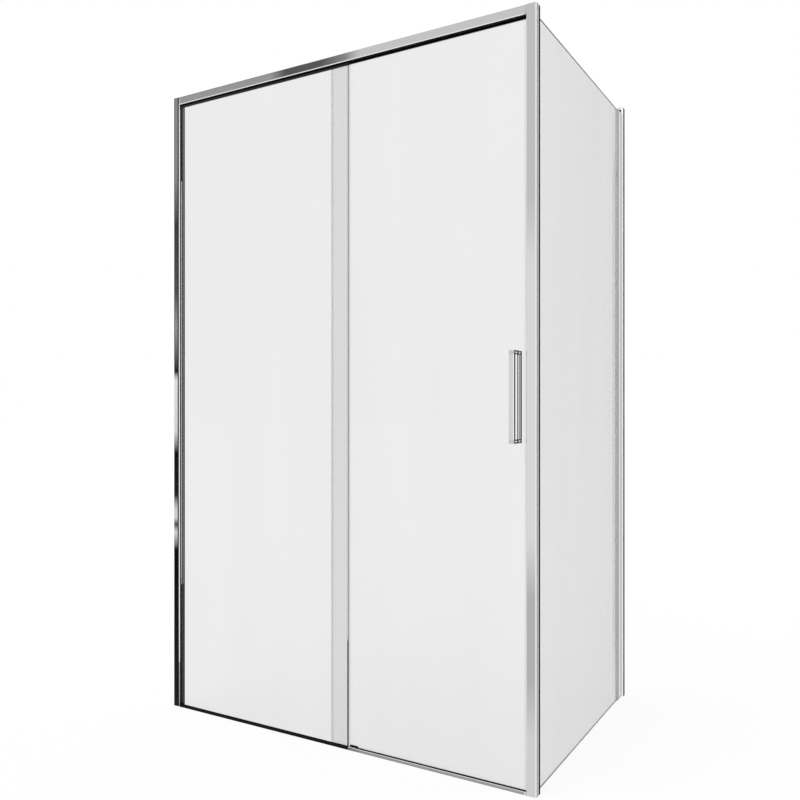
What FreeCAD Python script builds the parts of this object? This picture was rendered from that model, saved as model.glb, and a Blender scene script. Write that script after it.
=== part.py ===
import FreeCAD, Part
import os

import Sketcher

# Corner shower enclosure: a fixed pane and a sliding door stand in a slim bright frame between the left
# wall and a glass corner, and a side pane runs from the corner post to the back wall.
# X runs along the front, Y from the front to the back wall, Z up. The origin is the middle of the
# footprint on the tray.

doc = FreeCAD.newDocument("ShowerEnclosure")
sheet = doc.addObject("Spreadsheet::Sheet", "Sizes")
aliases = []
pieces = []


class Size:
    """A length with its present value and the formula that gives it from the sheet."""

    def __init__(self, value, formula):
        self.value = value
        self.formula = formula

    def __add__(self, other):
        other = as_size(other)
        return Size(self.value + other.value, f"({self.formula} + {other.formula})")

    def __sub__(self, other):
        other = as_size(other)
        return Size(self.value - other.value, f"({self.formula} - {other.formula})")

    def __mul__(self, factor):
        return Size(self.value * factor, f"({self.formula} * {factor})")

    def __truediv__(self, divisor):
        return Size(self.value / divisor, f"({self.formula} / {divisor})")

    def __neg__(self):
        return Size(-self.value, f"(0 - {self.formula})")


def as_size(length):
    """A plain number, such as 0, as a length."""
    if isinstance(length, Size):
        return length
    return Size(length, str(length))


def size(alias, value):
    """A driving dimension: one named cell of the sheet."""
    aliases.append(alias)
    row = len(aliases)
    sheet.set(f"A{row}", alias)
    sheet.set(f"B{row}", str(value))
    sheet.setAlias(f"B{row}", alias)
    return Size(value, f"Sizes.{alias}")


# Overall sizes
front_width = size("front_width", 1195)
side_depth = size("side_depth", 800)
frame_height = size("frame_height", 1900)
frame_depth = size("frame_depth", 26)
post_width = size("post_width", 26)
corner_round = size("corner_round", 1.5)

# Glass
glass = size("glass_thickness", 5)
arris = size("arris", 0.5)
fixed_setback = size("fixed_setback", 4.2)
pane_gap = size("pane_gap", 4.5)
fixed_reach = size("fixed_reach", 654)
pane_overlap = size("pane_overlap", 62)
door_edge_gap = size("door_edge_gap", 3)
side_inset = size("side_inset", 8.7)
side_top_drop = size("side_top_drop", 17.5)

# Extruded profiles
gauge = size("profile_gauge", 1.5)
thin_gauge = size("thin_gauge", 1.2)
slip = size("slip_clearance", 0.3)
channel_cover = size("channel_cover", 16)
shadow_gap = size("shadow_gap", 3.5)
plug_gap = size("plug_gap", 1)
jamb_reveal = size("jamb_reveal", 3.5)
jamb_tongue = size("jamb_tongue", 16)
cap_plate = size("cap_plate", 2)
cap_spigot = size("cap_spigot", 4)
rail_height = size("rail_height", 25)
rail_back_height = size("rail_back_height", 22.5)
rib_height = size("rib_height", 20)
ledge_width = size("ledge_width", 4.1)
bead_width = size("bead_width", 1.2)
bead_height = size("bead_height", 0.9)
bead_round = size("bead_round", 0.4)
sill_height = size("sill_height", 8)
sill_back_height = size("sill_back_height", 5)
side_channel_depth = size("side_channel_depth", 20)
side_jamb_length = size("side_jamb_length", 61)
head_room = size("screw_head_room", 5)
side_slot_depth = size("side_slot_depth", 14)
post_slot_depth = size("post_slot_depth", 11)
post_recess_depth = size("post_recess_depth", 9)
recess_side_room = size("recess_side_room", 2)

# Gaskets and seals
gasket_side = size("gasket_side", 1.3)
side_gasket_leg = size("side_gasket_leg", 1.2)
gasket_foot = size("gasket_foot", 2)
gasket_lip = size("gasket_lip", 0.8)
side_gasket_lip = size("side_gasket_lip", 3)
pane_top_bite = size("pane_top_bite", 15)
seal_wall = size("seal_wall", 0.7)
seal_fit = size("seal_fit", 0.1)
seal_grip = size("seal_grip", 6.5)
seal_web = size("seal_web", 1.2)
seal_lip_room = size("seal_lip_room", 0.6)
seal_foot = size("seal_foot", 9.5)
seal_head_drop = size("seal_head_drop", 28)
magnet_depth = size("magnet_depth", 8.5)
magnet_gap = size("magnet_gap", 0.6)
magnet_thickness = size("magnet_thickness", 4)
foot_strip = size("foot_strip", 1.5)
filler_height = size("filler_height", 8)
filler_rise = size("filler_rise", 1)

# Door running gear
door_travel = size("door_travel", 475)
door_clearance = size("door_clearance", 4.2)
wiper_grip = size("wiper_grip", 3)
head_wall = size("head_profile_wall", 1)
head_grip = size("head_profile_grip", 7)
door_top_drop = size("door_top_drop", 16)
carriage_inset = size("carriage_inset", 70)
carriage_length = size("carriage_length", 56)
lift_gap = size("lift_gap", 1.2)
wheel_spacing = size("wheel_spacing", 34)
wheel_width = size("wheel_width", 3.2)
run_radius = size("run_radius", 8)
wheel_flange = size("wheel_flange", 0.7)
run_gap = size("run_gap", 0.3)
bearing_radius = size("bearing_radius", 4)
press_gap = size("press_gap", 0.02)
axle_radius = size("axle_radius", 1.6)
axle_fit = size("axle_fit", 0.05)
axle_bite = size("axle_bite", 6)
axle_collar = size("axle_collar", 0.8)
axle_head = size("axle_head", 0.25)
wheel_end_gap = size("wheel_end_gap", 0.2)
stop_length = size("stop_length", 14)
plug_length = size("plug_length", 18)
guide_length = size("guide_length", 20)
guide_height = size("guide_height", 11)
guide_back_height = size("guide_back_height", 7)
guide_back_wall = size("guide_back_wall", 2)
guide_front_wall = size("guide_front_wall", 3.5)
guide_foot_height = size("guide_foot_height", 6)
guide_room = size("guide_room", 0.5)

# Handle
handle_inset = size("handle_inset", 16.5)
handle_width = size("handle_width", 14)
handle_reach = size("handle_reach", 49)
handle_length = size("handle_length", 223)
handle_middle = size("handle_middle", 957)
handle_cap_height = size("handle_cap_height", 10)
handle_cap_spigot = size("handle_cap_spigot", 6)
handle_pad = size("handle_pad", 4)
handle_round = size("handle_round", 1.2)
handle_wall = size("handle_wall", 3)
handle_base = size("handle_base", 13)
inlay_setback = size("inlay_setback", 1.6)
inlay_width = size("inlay_width", 5.5)
inlay_depth = size("inlay_depth", 1.5)
groove_depth = size("groove_depth", 1.2)
groove_width = size("groove_width", 2.6)
groove_setback = size("groove_setback", 20.5)
groove_spacing = size("groove_spacing", 13)
trim_depth = size("trim_depth", 0.8)
trim_length = size("trim_length", 11)
front_trim_setback = size("front_trim_setback", 8)
front_trim_height = size("front_trim_height", 3)
rear_trim_setback = size("rear_trim_setback", 29)
rear_trim_height = size("rear_trim_height", 6)
washer_thickness = size("washer_thickness", 1)
handle_screw_inset = size("handle_screw_inset", 24)
handle_screw_bite = size("handle_screw_bite", 9)
glass_hole_radius = size("glass_hole_radius", 3)

# Fasteners
screw_radius = size("screw_radius", 1.5)
screw_head_radius = size("screw_head_radius", 3)
screw_head_height = size("screw_head_height", 1.6)
screw_hole_fit = size("screw_hole_fit", 0.15)
cover_radius = size("cover_radius", 5)
cover_height = size("cover_height", 3)
small_screw_radius = size("small_screw_radius", 1.1)
small_head_radius = size("small_head_radius", 2)
small_head_height = size("small_head_height", 1.1)
wall_hole_radius = size("wall_hole_radius", 3)
wall_hole_foot = size("wall_hole_foot", 120)
wall_hole_middle = size("wall_hole_middle", 680)
fixing_foot = size("fixing_foot", 200)


def bind(thing, prop, length):
    """Tie a property of a document object to the sheet."""
    thing.setExpression(prop, as_size(length).formula)


def place(thing, x, y, z):
    for axis, length in (("x", x), ("y", y), ("z", z)):
        bind(thing, f"Placement.Base.{axis}", length)


def towards(start, end):
    """The sign of the step from one coordinate to another along an axis."""
    step = as_size(end).value - as_size(start).value
    return (step > 1e-9) - (step < -1e-9)


def soften(corners):
    """Split each corner that has a radius into the two ends of its arc."""
    points = []
    for i, corner in enumerate(corners):
        x, y = as_size(corner[0]), as_size(corner[1])
        if len(corner) == 2:
            points.append((x, y, None, None))
            continue
        radius = corner[2]
        before = corners[i - 1]
        after = corners[(i + 1) % len(corners)]
        into = (towards(x, before[0]), towards(y, before[1]))
        out = (towards(x, after[0]), towards(y, after[1]))
        slack = radius.value * (1 - 0.5**0.5)
        middle = FreeCAD.Vector(
            x.value + slack * (into[0] + out[0]), y.value + slack * (into[1] + out[1]), 0
        )
        points.append((x + radius * into[0], y + radius * into[1], radius, middle))
        points.append((x + radius * out[0], y + radius * out[1], None, None))
    return points


def outline(sketch, corners):
    """Draw a closed loop through the corners and tie every point and radius to the sheet."""
    points = soften(corners)
    spots = [FreeCAD.Vector(x.value, y.value, 0) for x, y, radius, middle in points]
    ends = []
    for i, (x, y, radius, middle) in enumerate(points):
        start, end = spots[i], spots[(i + 1) % len(spots)]
        if radius is None:
            edge = sketch.addGeometry(Part.LineSegment(start, end), False)
        else:
            edge = sketch.addGeometry(Part.Arc(start, middle, end), False)
            turn = sketch.addConstraint(Sketcher.Constraint("Radius", edge, radius.value))
            bind(sketch, f"Constraints[{turn}]", radius)
        forward = sketch.getPoint(edge, 1).distanceToPoint(start) < 1e-6
        ends.append((edge, 1, 2) if forward else (edge, 2, 1))
    for i, (edge, first, last) in enumerate(ends):
        following = ends[(i + 1) % len(ends)]
        sketch.addConstraint(Sketcher.Constraint("Coincident", edge, last, following[0], following[1]))
        for kind, length in (("DistanceX", points[i][0]), ("DistanceY", points[i][1])):
            spot = sketch.addConstraint(Sketcher.Constraint(kind, -1, 1, edge, first, length.value))
            bind(sketch, f"Constraints[{spot}]", length)


def rectangle(x, y):
    return [(x[0], y[0]), (x[1], y[0]), (x[1], y[1]), (x[0], y[1])]


def new_sketch(body, plane, loops):
    sketch = body.newObject("Sketcher::SketchObject", f"{body.Name}_outline")
    support = [feature for feature in body.Origin.OriginFeatures if feature.Role == plane]
    sketch.AttachmentSupport = (support[0], "")
    sketch.MapMode = "FlatFace"
    for loop in loops:
        outline(sketch, loop)
    return sketch


def extrude(label, plane, loops, start, end):
    """A profile drawn on an origin plane and padded from start to end along that plane's normal."""
    body = doc.addObject("PartDesign::Body", label)
    pad = body.newObject("PartDesign::Pad", f"{label}_pad")
    pad.Profile = new_sketch(body, plane, loops)
    body.Tip = pad
    bind(pad, "Length", end - start)
    axis = {"XY_Plane": "z", "YZ_Plane": "x"}[plane]
    bind(body, f"Placement.Base.{axis}", start)
    return body


def turned(label, loop, x, y, z):
    """A body turned about an axis along Y. The loop gives places along the axis and radii."""
    body = doc.addObject("PartDesign::Body", label)
    turn = body.newObject("PartDesign::Revolution", f"{label}_turn")
    sketch = new_sketch(body, "YZ_Plane", [loop])
    turn.Profile = sketch
    turn.ReferenceAxis = (sketch, ["H_Axis"])
    turn.Angle = 360
    body.Tip = turn
    place(body, x, y, z)
    return body


def sheet_of_glass(label, x, y, z):
    """A pane with its ground arrises."""
    body = extrude(label, "XY_Plane", [rectangle(x, y)], *z)
    doc.recompute()
    pad = body.Tip
    ground = body.newObject("PartDesign::Chamfer", f"{label}_arris")
    ground.Base = (pad, [f"Edge{i + 1}" for i in range(len(pad.Shape.Edges))])
    bind(ground, "Size", arris)
    return body


def block(label, x, y, z):
    box = doc.addObject("Part::Box", label)
    for prop, axis, (low, high) in (("Length", "x", x), ("Width", "y", y), ("Height", "z", z)):
        bind(box, prop, high - low)
        bind(box, f"Placement.Base.{axis}", low)
    return box


TURNS = {
    "x": FreeCAD.Rotation(FreeCAD.Vector(0, 1, 0), 90),
    "y": FreeCAD.Rotation(FreeCAD.Vector(1, 0, 0), -90),
    "z": FreeCAD.Rotation(),
}


def rod(label, axis, radius, x, y, z):
    """A cylinder along one axis, from the low to the high end of that axis's pair."""
    cylinder = doc.addObject("Part::Cylinder", label)
    cylinder.Placement = FreeCAD.Placement(FreeCAD.Vector(), TURNS[axis])
    low, high = {"x": x, "y": y, "z": z}[axis]
    bind(cylinder, "Radius", radius)
    bind(cylinder, "Height", high - low)
    place(cylinder, *[low if name == axis else at for name, at in (("x", x), ("y", y), ("z", z))])
    return cylinder


def group(label, members):
    """Separate solids kept together."""
    compound = doc.addObject("Part::Compound", label)
    compound.Links = members
    return compound


def joined(label, members):
    """Members that are one solid on the real piece."""
    fusion = doc.addObject("Part::MultiFuse", label)
    fusion.Shapes = members
    return fusion


def drilled(label, blank, holes):
    cut = doc.addObject("Part::Cut", label)
    cut.Base = blank
    cut.Tool = group(f"{label}_holes", holes)
    return cut


def keep(piece):
    """List a finished piece, which is written under its label."""
    pieces.append(piece)
    return piece


def screw(label, axis, head, shank, radius, head_radius, **across):
    """A screw along one axis: the head and the shank are low and high ends on that axis."""
    parts = []
    for end, thick, span in (("head", head_radius, head), ("shank", radius, shank)):
        parts.append(rod(f"{label}_{end}", axis, thick, **{axis: span}, **across))
    return joined(label, parts)


# Places along X, from the left wall to the glass corner
wall_face = -front_width / 2
corner_face = front_width / 2
post_face = corner_face - post_width
channel_edge = wall_face + channel_cover
jamb_shoulder = channel_edge + shadow_gap
jamb_face = jamb_shoulder + jamb_reveal
jamb_end = jamb_shoulder - jamb_tongue
fixed_edge = wall_face + fixed_reach
door_tail = fixed_edge - pane_overlap
door_lead = post_face - door_edge_gap

# Places along Y, from the front face to the back wall
door_setback = fixed_setback + glass + pane_gap
front = (handle_reach - door_setback - side_depth) / 2
back = front + frame_depth
wall_back = front + side_depth
fixed_front = front + fixed_setback
fixed_back = fixed_front + glass
slot_back = fixed_back + gasket_side
rib_back = slot_back + thin_gauge
door_front = front + door_setback
door_back = door_front + glass

# Places up Z
profile_top = frame_height - cap_plate
rail_foot = frame_height - rail_height
rail_ceiling = frame_height - gauge
fixed_foot = gauge + gasket_foot
fixed_top = rail_foot + pane_top_bite
door_top = frame_height - door_top_drop
seal_head = frame_height - seal_head_drop
side_top = frame_height - side_top_drop

# Left wall channel: a U that is screwed to the wall through its web and hides the jamb's tongue
left_profile = [
    (wall_face, front),
    (channel_edge, front, corner_round / 2),
    (channel_edge, front + gauge),
    (wall_face + gauge, front + gauge),
    (wall_face + gauge, back - gauge),
    (channel_edge, back - gauge),
    (channel_edge, back),
    (wall_face, back),
]
wall_hole_heights = [
    wall_hole_foot,
    wall_hole_middle,
    frame_height - wall_hole_middle,
    frame_height - wall_hole_foot,
]
fixing_heights = [fixing_foot, frame_height / 2, frame_height - fixing_foot]
fixing_x = (jamb_end + channel_edge) / 2
screw_hole = screw_radius + screw_hole_fit
left_holes = []
left_middle_y = front + frame_depth / 2
for i, height in enumerate(wall_hole_heights):
    web = (wall_face, wall_face + gauge)
    left_holes.append(rod(f"left_wall_hole_{i}", "x", wall_hole_radius, web, left_middle_y, height))
for i, height in enumerate(fixing_heights):
    leg = (back - gauge, back)
    left_holes.append(rod(f"left_fixing_hole_{i}", "y", screw_hole, fixing_x, leg, height))
left_blank = extrude("left_channel_profile", "XY_Plane", [left_profile], as_size(0), profile_top)
keep(drilled("left_wall_channel", left_blank, left_holes))

# Left jamb: its tongue slides in the wall channel, and its slot takes the fixed pane
tongue_front = front + gauge + slip
tongue_back = back - gauge - slip
jamb_slot_front = tongue_front + thin_gauge
jamb_slot_end = jamb_end + gauge
jamb_profile = [
    (jamb_face, front, corner_round),
    (jamb_shoulder, front, corner_round / 2),
    (jamb_shoulder, tongue_front),
    (jamb_end, tongue_front),
    (jamb_end, tongue_back),
    (jamb_shoulder, tongue_back),
    (jamb_shoulder, back),
    (jamb_face, back, corner_round),
    (jamb_face, slot_back),
    (jamb_slot_end, slot_back),
    (jamb_slot_end, jamb_slot_front),
    (jamb_face, jamb_slot_front),
]
jamb_hollow_x = (jamb_slot_end, jamb_face - gauge)
jamb_hollow_y = (rib_back, tongue_back - gauge)
jamb_loops = [jamb_profile, rectangle(jamb_hollow_x, jamb_hollow_y)]
jamb_blank = extrude("jamb_profile", "XY_Plane", jamb_loops, as_size(0), profile_top)
plug_left_y = (rib_back + plug_gap, back - gauge - slip)
plug_left_screw_y = (plug_left_y[0] + plug_left_y[1]) / 2
plug_low = door_top + gauge + plug_gap * 2
plug_left_z = (plug_low, rail_ceiling - slip)
plug_left_screw_z = plug_low + screw_head_radius + slip
jamb_holes = []
for i, height in enumerate(fixing_heights):
    skin = (tongue_back - gauge, tongue_back)
    jamb_holes.append(rod(f"jamb_fixing_hole_{i}", "y", screw_hole, fixing_x, skin, height))
jamb_skin = (jamb_face - gauge, jamb_face)
jamb_holes.append(rod("jamb_rail_hole", "x", screw_hole, jamb_skin, plug_left_screw_y, plug_left_screw_z))
keep(drilled("left_jamb", jamb_blank, jamb_holes))

jamb_screws = []
jamb_covers = []
for i, height in enumerate(fixing_heights):
    head = (back, back + screw_head_height)
    shank = (tongue_back - gauge * 2, back)
    jamb_screws.append(
        screw(f"jamb_screw_{i}", "y", head, shank, screw_radius, screw_head_radius, x=fixing_x, z=height)
    )
    shell = rod(f"jamb_cover_shell_{i}", "y", cover_radius, fixing_x, (back, back + cover_height), height)
    pocket_radius = screw_head_radius + slip
    pocket = rod(f"jamb_cover_pocket_{i}", "y", pocket_radius, fixing_x, (back, head[1] + slip), height)
    jamb_covers.append(drilled(f"jamb_cover_{i}", shell, [pocket]))
keep(group("jamb_screws", jamb_screws))
keep(group("jamb_screw_covers", jamb_covers))

left_cap_plate = block("left_cap_plate", (wall_face, jamb_face), (front, back), (profile_top, frame_height))
left_cap_spigot = block(
    "left_cap_spigot",
    (jamb_hollow_x[0] + slip, jamb_hollow_x[1] - slip),
    (jamb_hollow_y[0] + slip, jamb_hollow_y[1] - slip),
    (profile_top - cap_spigot, profile_top),
)
keep(joined("left_cap", [left_cap_plate, left_cap_spigot]))

# Corner post: a square tube with a recess for the door's leading edge and a slot for the side pane
side_outer = corner_face - side_inset
side_inner = side_outer - glass
seal_skin = seal_wall + seal_fit
side_slot_x = (side_inner - side_gasket_leg, side_outer + side_gasket_leg)
post_slot_end = back - post_slot_depth
door_seal_y = (door_front - seal_skin, door_back + seal_skin)
recess_y = (door_seal_y[0] - recess_side_room, door_seal_y[1] + recess_side_room)
recess_end = post_face + post_recess_depth
post_profile = [
    (post_face, front, corner_round),
    (corner_face, front, corner_round),
    (corner_face, back, corner_round / 2),
    (side_slot_x[1], back),
    (side_slot_x[1], post_slot_end),
    (side_slot_x[0], post_slot_end),
    (side_slot_x[0], back),
    (post_face, back, corner_round / 2),
    (post_face, recess_y[1]),
    (recess_end, recess_y[1]),
    (recess_end, recess_y[0]),
    (post_face, recess_y[0]),
]
post_front_hollow = rectangle(
    (post_face + gauge, corner_face - gauge), (front + gauge, recess_y[0] - gauge)
)
post_side_hollow = rectangle((side_slot_x[1] + gauge, corner_face - gauge), (recess_y[0], back - gauge))
post_blank = extrude(
    "post_profile", "XY_Plane", [post_profile, post_front_hollow, post_side_hollow], as_size(0), profile_top
)
plug_right_y = (front + gauge + slip, slot_back - slip)
plug_right_z = (rail_foot + filler_rise + filler_height + slip, rail_ceiling - slip)
plug_right_screw_y = (plug_right_y[0] + plug_right_y[1]) / 2
plug_right_screw_z = (plug_right_z[0] + plug_right_z[1]) / 2
post_skin = (post_face, post_face + gauge)
post_hole = rod("post_rail_hole", "x", screw_hole, post_skin, plug_right_screw_y, plug_right_screw_z)
keep(drilled("corner_post", post_blank, [post_hole]))

post_cap_plate = block(
    "post_cap_plate", (post_face, corner_face), (front, back), (profile_top, frame_height)
)
post_cap_spigot = block(
    "post_cap_spigot",
    (post_face + gauge + slip, corner_face - gauge - slip),
    (front + gauge + slip, recess_y[0] - gauge - slip),
    (profile_top - cap_spigot, profile_top),
)
keep(joined("post_cap", [post_cap_plate, post_cap_spigot]))

magnet_tip = door_lead + magnet_depth
keep(block("post_magnet", (magnet_tip + magnet_gap, recess_end), door_seal_y, (seal_foot, seal_head)))

# Top rail: a fascia in front, the fixed pane's slot behind it, and the wheels' ledge at the back
ledge_front = back - gauge - ledge_width
ledge_foot = frame_height - rail_back_height
ledge_top = ledge_foot + gauge
bead_middle = ledge_front + ledge_width / 2
bead_y = (bead_middle - bead_width / 2, bead_middle + bead_width / 2)
bead_top = ledge_top + bead_height
rib_foot = frame_height - rib_height
rail_profile = [
    (front, rail_foot, corner_round / 2),
    (front, frame_height, corner_round),
    (back, frame_height, corner_round),
    (back, ledge_foot),
    (ledge_front, ledge_foot),
    (ledge_front, ledge_top),
    (bead_y[0], ledge_top),
    (bead_y[0], bead_top, bead_round),
    (bead_y[1], bead_top, bead_round),
    (bead_y[1], ledge_top),
    (back - gauge, ledge_top),
    (back - gauge, rail_ceiling),
    (rib_back, rail_ceiling),
    (rib_back, rib_foot),
    (slot_back, rib_foot),
    (slot_back, rail_ceiling),
    (front + gauge, rail_ceiling),
    (front + gauge, rail_foot),
]
keep(extrude("top_rail", "YZ_Plane", [rail_profile], jamb_face, post_face))

plug_left_x = (jamb_face, jamb_face + plug_length)
plug_right_x = (post_face - plug_length, post_face)
plug_left_blank = block("plug_left_blank", plug_left_x, plug_left_y, plug_left_z)
plug_left_hole = rod("plug_left_hole", "x", screw_hole, plug_left_x, plug_left_screw_y, plug_left_screw_z)
keep(drilled("rail_plug_left", plug_left_blank, [plug_left_hole]))
plug_right_blank = block("plug_right_blank", plug_right_x, plug_right_y, plug_right_z)
plug_right_hole = rod(
    "plug_right_hole", "x", screw_hole, plug_right_x, plug_right_screw_y, plug_right_screw_z
)
keep(drilled("rail_plug_right", plug_right_blank, [plug_right_hole]))
plug_screws = [
    screw(
        "rail_plug_screw_left",
        "x",
        (plug_left_x[1], plug_left_x[1] + screw_head_height),
        (jamb_face - gauge * 2, plug_left_x[1]),
        screw_radius,
        screw_head_radius,
        y=plug_left_screw_y,
        z=plug_left_screw_z,
    ),
    screw(
        "rail_plug_screw_right",
        "x",
        (plug_right_x[0] - screw_head_height, plug_right_x[0]),
        (plug_right_x[0], post_face + gauge * 2),
        screw_radius,
        screw_head_radius,
        y=plug_right_screw_y,
        z=plug_right_screw_z,
    ),
]
keep(group("rail_plug_screws", plug_screws))

# Bottom sill: a low water bar that carries the fixed pane's foot
sill_profile = [
    (front, as_size(0)),
    (rib_back, as_size(0)),
    (rib_back, sill_back_height),
    (slot_back, sill_back_height),
    (slot_back, gauge),
    (front + gauge, gauge),
    (front + gauge, sill_height),
    (front, sill_height, corner_round / 2),
]
guide_x = (fixed_edge + seal_web + slip, fixed_edge + seal_web + slip + guide_length)
guide_foot_y = (front + gauge + slip, slot_back - slip)
guide_screw_y = guide_foot_y[0] + small_head_radius + slip
guide_screw_x = [guide_x[0] + guide_length / 4, guide_x[1] - guide_length / 4]
small_hole = small_screw_radius + screw_hole_fit
sill_holes = []
for i, across in enumerate(guide_screw_x):
    web = (as_size(0), gauge)
    sill_holes.append(rod(f"sill_guide_hole_{i}", "z", small_hole, across, guide_screw_y, web))
sill_blank = extrude("sill_profile", "YZ_Plane", [sill_profile], jamb_face, post_face)
keep(drilled("bottom_sill", sill_blank, sill_holes))

# Fixed pane with its glazing gaskets and the clear seal on its free edge
fixed_start = jamb_slot_end + gasket_foot
fixed_y = (fixed_front, fixed_back)
keep(sheet_of_glass("fixed_pane", (fixed_start, fixed_edge), fixed_y, (fixed_foot, fixed_top)))
side_gasket = [
    (jamb_slot_end, jamb_slot_front),
    (jamb_face, jamb_slot_front),
    (jamb_face, fixed_front),
    (fixed_start, fixed_front),
    (fixed_start, fixed_back),
    (jamb_face, fixed_back),
    (jamb_face, slot_back),
    (jamb_slot_end, slot_back),
]
keep(extrude("fixed_gasket_side", "XY_Plane", [side_gasket], gauge, fixed_top + gasket_foot))
top_gasket = [
    (front + gauge, rail_foot - gasket_lip),
    (fixed_front, rail_foot - gasket_lip),
    (fixed_front, fixed_top),
    (fixed_back, fixed_top),
    (fixed_back, rib_foot),
    (slot_back, rib_foot),
    (slot_back, fixed_top + gasket_foot),
    (front + gauge, fixed_top + gasket_foot),
]
keep(extrude("fixed_gasket_top", "YZ_Plane", [top_gasket], jamb_face, fixed_edge))
foot_gasket = [
    (front + gauge, gauge),
    (slot_back, gauge),
    (slot_back, sill_back_height),
    (fixed_back, sill_back_height),
    (fixed_back, fixed_foot),
    (fixed_front, fixed_foot),
    (fixed_front, sill_height + gasket_lip),
    (front + gauge, sill_height + gasket_lip),
]
keep(extrude("fixed_gasket_foot", "YZ_Plane", [foot_gasket], jamb_face, fixed_edge))
lip_x = (fixed_edge - seal_web, fixed_edge)
edge_seal = [
    (fixed_edge - seal_grip, fixed_front - seal_skin),
    (fixed_edge + seal_web, fixed_front - seal_skin),
    (fixed_edge + seal_web, fixed_back + seal_skin),
    (lip_x[1], fixed_back + seal_skin),
    (lip_x[1], door_front - seal_lip_room),
    (lip_x[0], door_front - seal_lip_room),
    (lip_x[0], fixed_back + seal_skin),
    (fixed_edge - seal_grip, fixed_back + seal_skin),
    (fixed_edge - seal_grip, fixed_back + seal_fit),
    (fixed_edge + seal_fit, fixed_back + seal_fit),
    (fixed_edge + seal_fit, fixed_front - seal_fit),
    (fixed_edge - seal_grip, fixed_front - seal_fit),
]
keep(extrude("fixed_edge_seal", "XY_Plane", [edge_seal], seal_foot, seal_head))

# Fillers: black strips that close the fixed pane's empty slots above and below the door
rail_filler = [
    (front + gauge, rail_foot + filler_rise),
    (slot_back, rail_foot + filler_rise),
    (slot_back, rail_foot + filler_rise + filler_height),
    (slot_back - thin_gauge, rail_foot + filler_rise + filler_height),
    (slot_back - thin_gauge, rail_foot + filler_rise + thin_gauge),
    (front + gauge + thin_gauge, rail_foot + filler_rise + thin_gauge),
    (front + gauge + thin_gauge, rail_foot + filler_rise + filler_height),
    (front + gauge, rail_foot + filler_rise + filler_height),
]
keep(extrude("rail_filler", "YZ_Plane", [rail_filler], fixed_edge, post_face))
sill_filler = [
    (front + gauge, gauge),
    (front + gauge + thin_gauge, gauge),
    (front + gauge + thin_gauge, sill_height - thin_gauge),
    (slot_back - thin_gauge, sill_height - thin_gauge),
    (slot_back - thin_gauge, gauge),
    (slot_back, gauge),
    (slot_back, sill_height),
    (front + gauge, sill_height),
]
keep(extrude("sill_filler", "YZ_Plane", [sill_filler], guide_x[1], post_face))

# Door guide: a block clipped into the sill at the fixed pane's edge, with a slot for the door's foot
wiper_foot = door_clearance - seal_web
guide_slot_y = (door_seal_y[0] - guide_room, door_seal_y[1] + guide_room)
guide_bridge = sill_back_height + slip
guide_profile = [
    (guide_foot_y[0], gauge),
    (guide_foot_y[1], gauge),
    (guide_foot_y[1], guide_bridge),
    (rib_back + slip, guide_bridge),
    (rib_back + slip, as_size(0)),
    (guide_slot_y[1] + guide_back_wall, as_size(0)),
    (guide_slot_y[1] + guide_back_wall, guide_back_height, corner_round / 2),
    (guide_slot_y[1], guide_back_height, corner_round / 2),
    (guide_slot_y[1], wiper_foot - guide_room * 2),
    (guide_slot_y[0], wiper_foot - guide_room * 2),
    (guide_slot_y[0], guide_height, corner_round / 2),
    (guide_slot_y[0] - guide_front_wall, guide_height, corner_round / 2),
    (guide_slot_y[0] - guide_front_wall, gauge + guide_foot_height),
    (guide_foot_y[0], gauge + guide_foot_height),
]
guide_holes = []
guide_screws = []
guide_seat = gauge + guide_foot_height
for i, across in enumerate(guide_screw_x):
    through = (gauge, guide_seat)
    guide_holes.append(rod(f"guide_hole_{i}", "z", small_hole, across, guide_screw_y, through))
    head = (guide_seat, guide_seat + small_head_height)
    shank = (slip, guide_seat)
    guide_screws.append(
        screw(
            f"guide_screw_{i}",
            "z",
            head,
            shank,
            small_screw_radius,
            small_head_radius,
            x=across,
            y=guide_screw_y,
        )
    )
guide_blank = extrude("guide_profile", "YZ_Plane", [guide_profile], *guide_x)
keep(drilled("door_guide", guide_blank, guide_holes))
keep(group("door_guide_screws", guide_screws))

# Side pane with its gaskets, its telescopic jamb and the channel on the back wall
side_start = post_slot_end + gasket_foot
side_jamb_end = wall_back - head_room
side_jamb_front = side_jamb_end - side_jamb_length
side_slot_end = side_jamb_front + side_slot_depth
side_end = side_slot_end - gasket_foot
keep(sheet_of_glass("side_pane", (side_inner, side_outer), (side_start, side_end), (foot_strip, side_top)))
post_gasket = [
    (side_slot_x[0], post_slot_end),
    (side_slot_x[1], post_slot_end),
    (side_slot_x[1], back + side_gasket_lip),
    (side_outer, back + side_gasket_lip),
    (side_outer, side_start),
    (side_inner, side_start),
    (side_inner, back + side_gasket_lip),
    (side_slot_x[0], back + side_gasket_lip),
]
keep(extrude("side_gasket_post", "XY_Plane", [post_gasket], as_size(0), side_top))
jamb_gasket = [
    (side_slot_x[0], side_slot_end),
    (side_slot_x[0], side_jamb_front - gasket_lip),
    (side_inner, side_jamb_front - gasket_lip),
    (side_inner, side_end),
    (side_outer, side_end),
    (side_outer, side_jamb_front - gasket_lip),
    (side_slot_x[1], side_jamb_front - gasket_lip),
    (side_slot_x[1], side_slot_end),
]
keep(extrude("side_gasket_jamb", "XY_Plane", [jamb_gasket], as_size(0), side_top))
foot_y = (back + side_gasket_lip, side_jamb_front - gasket_lip)
keep(block("side_foot_strip", (side_inner, side_outer), foot_y, (as_size(0), foot_strip - seal_fit)))

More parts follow.
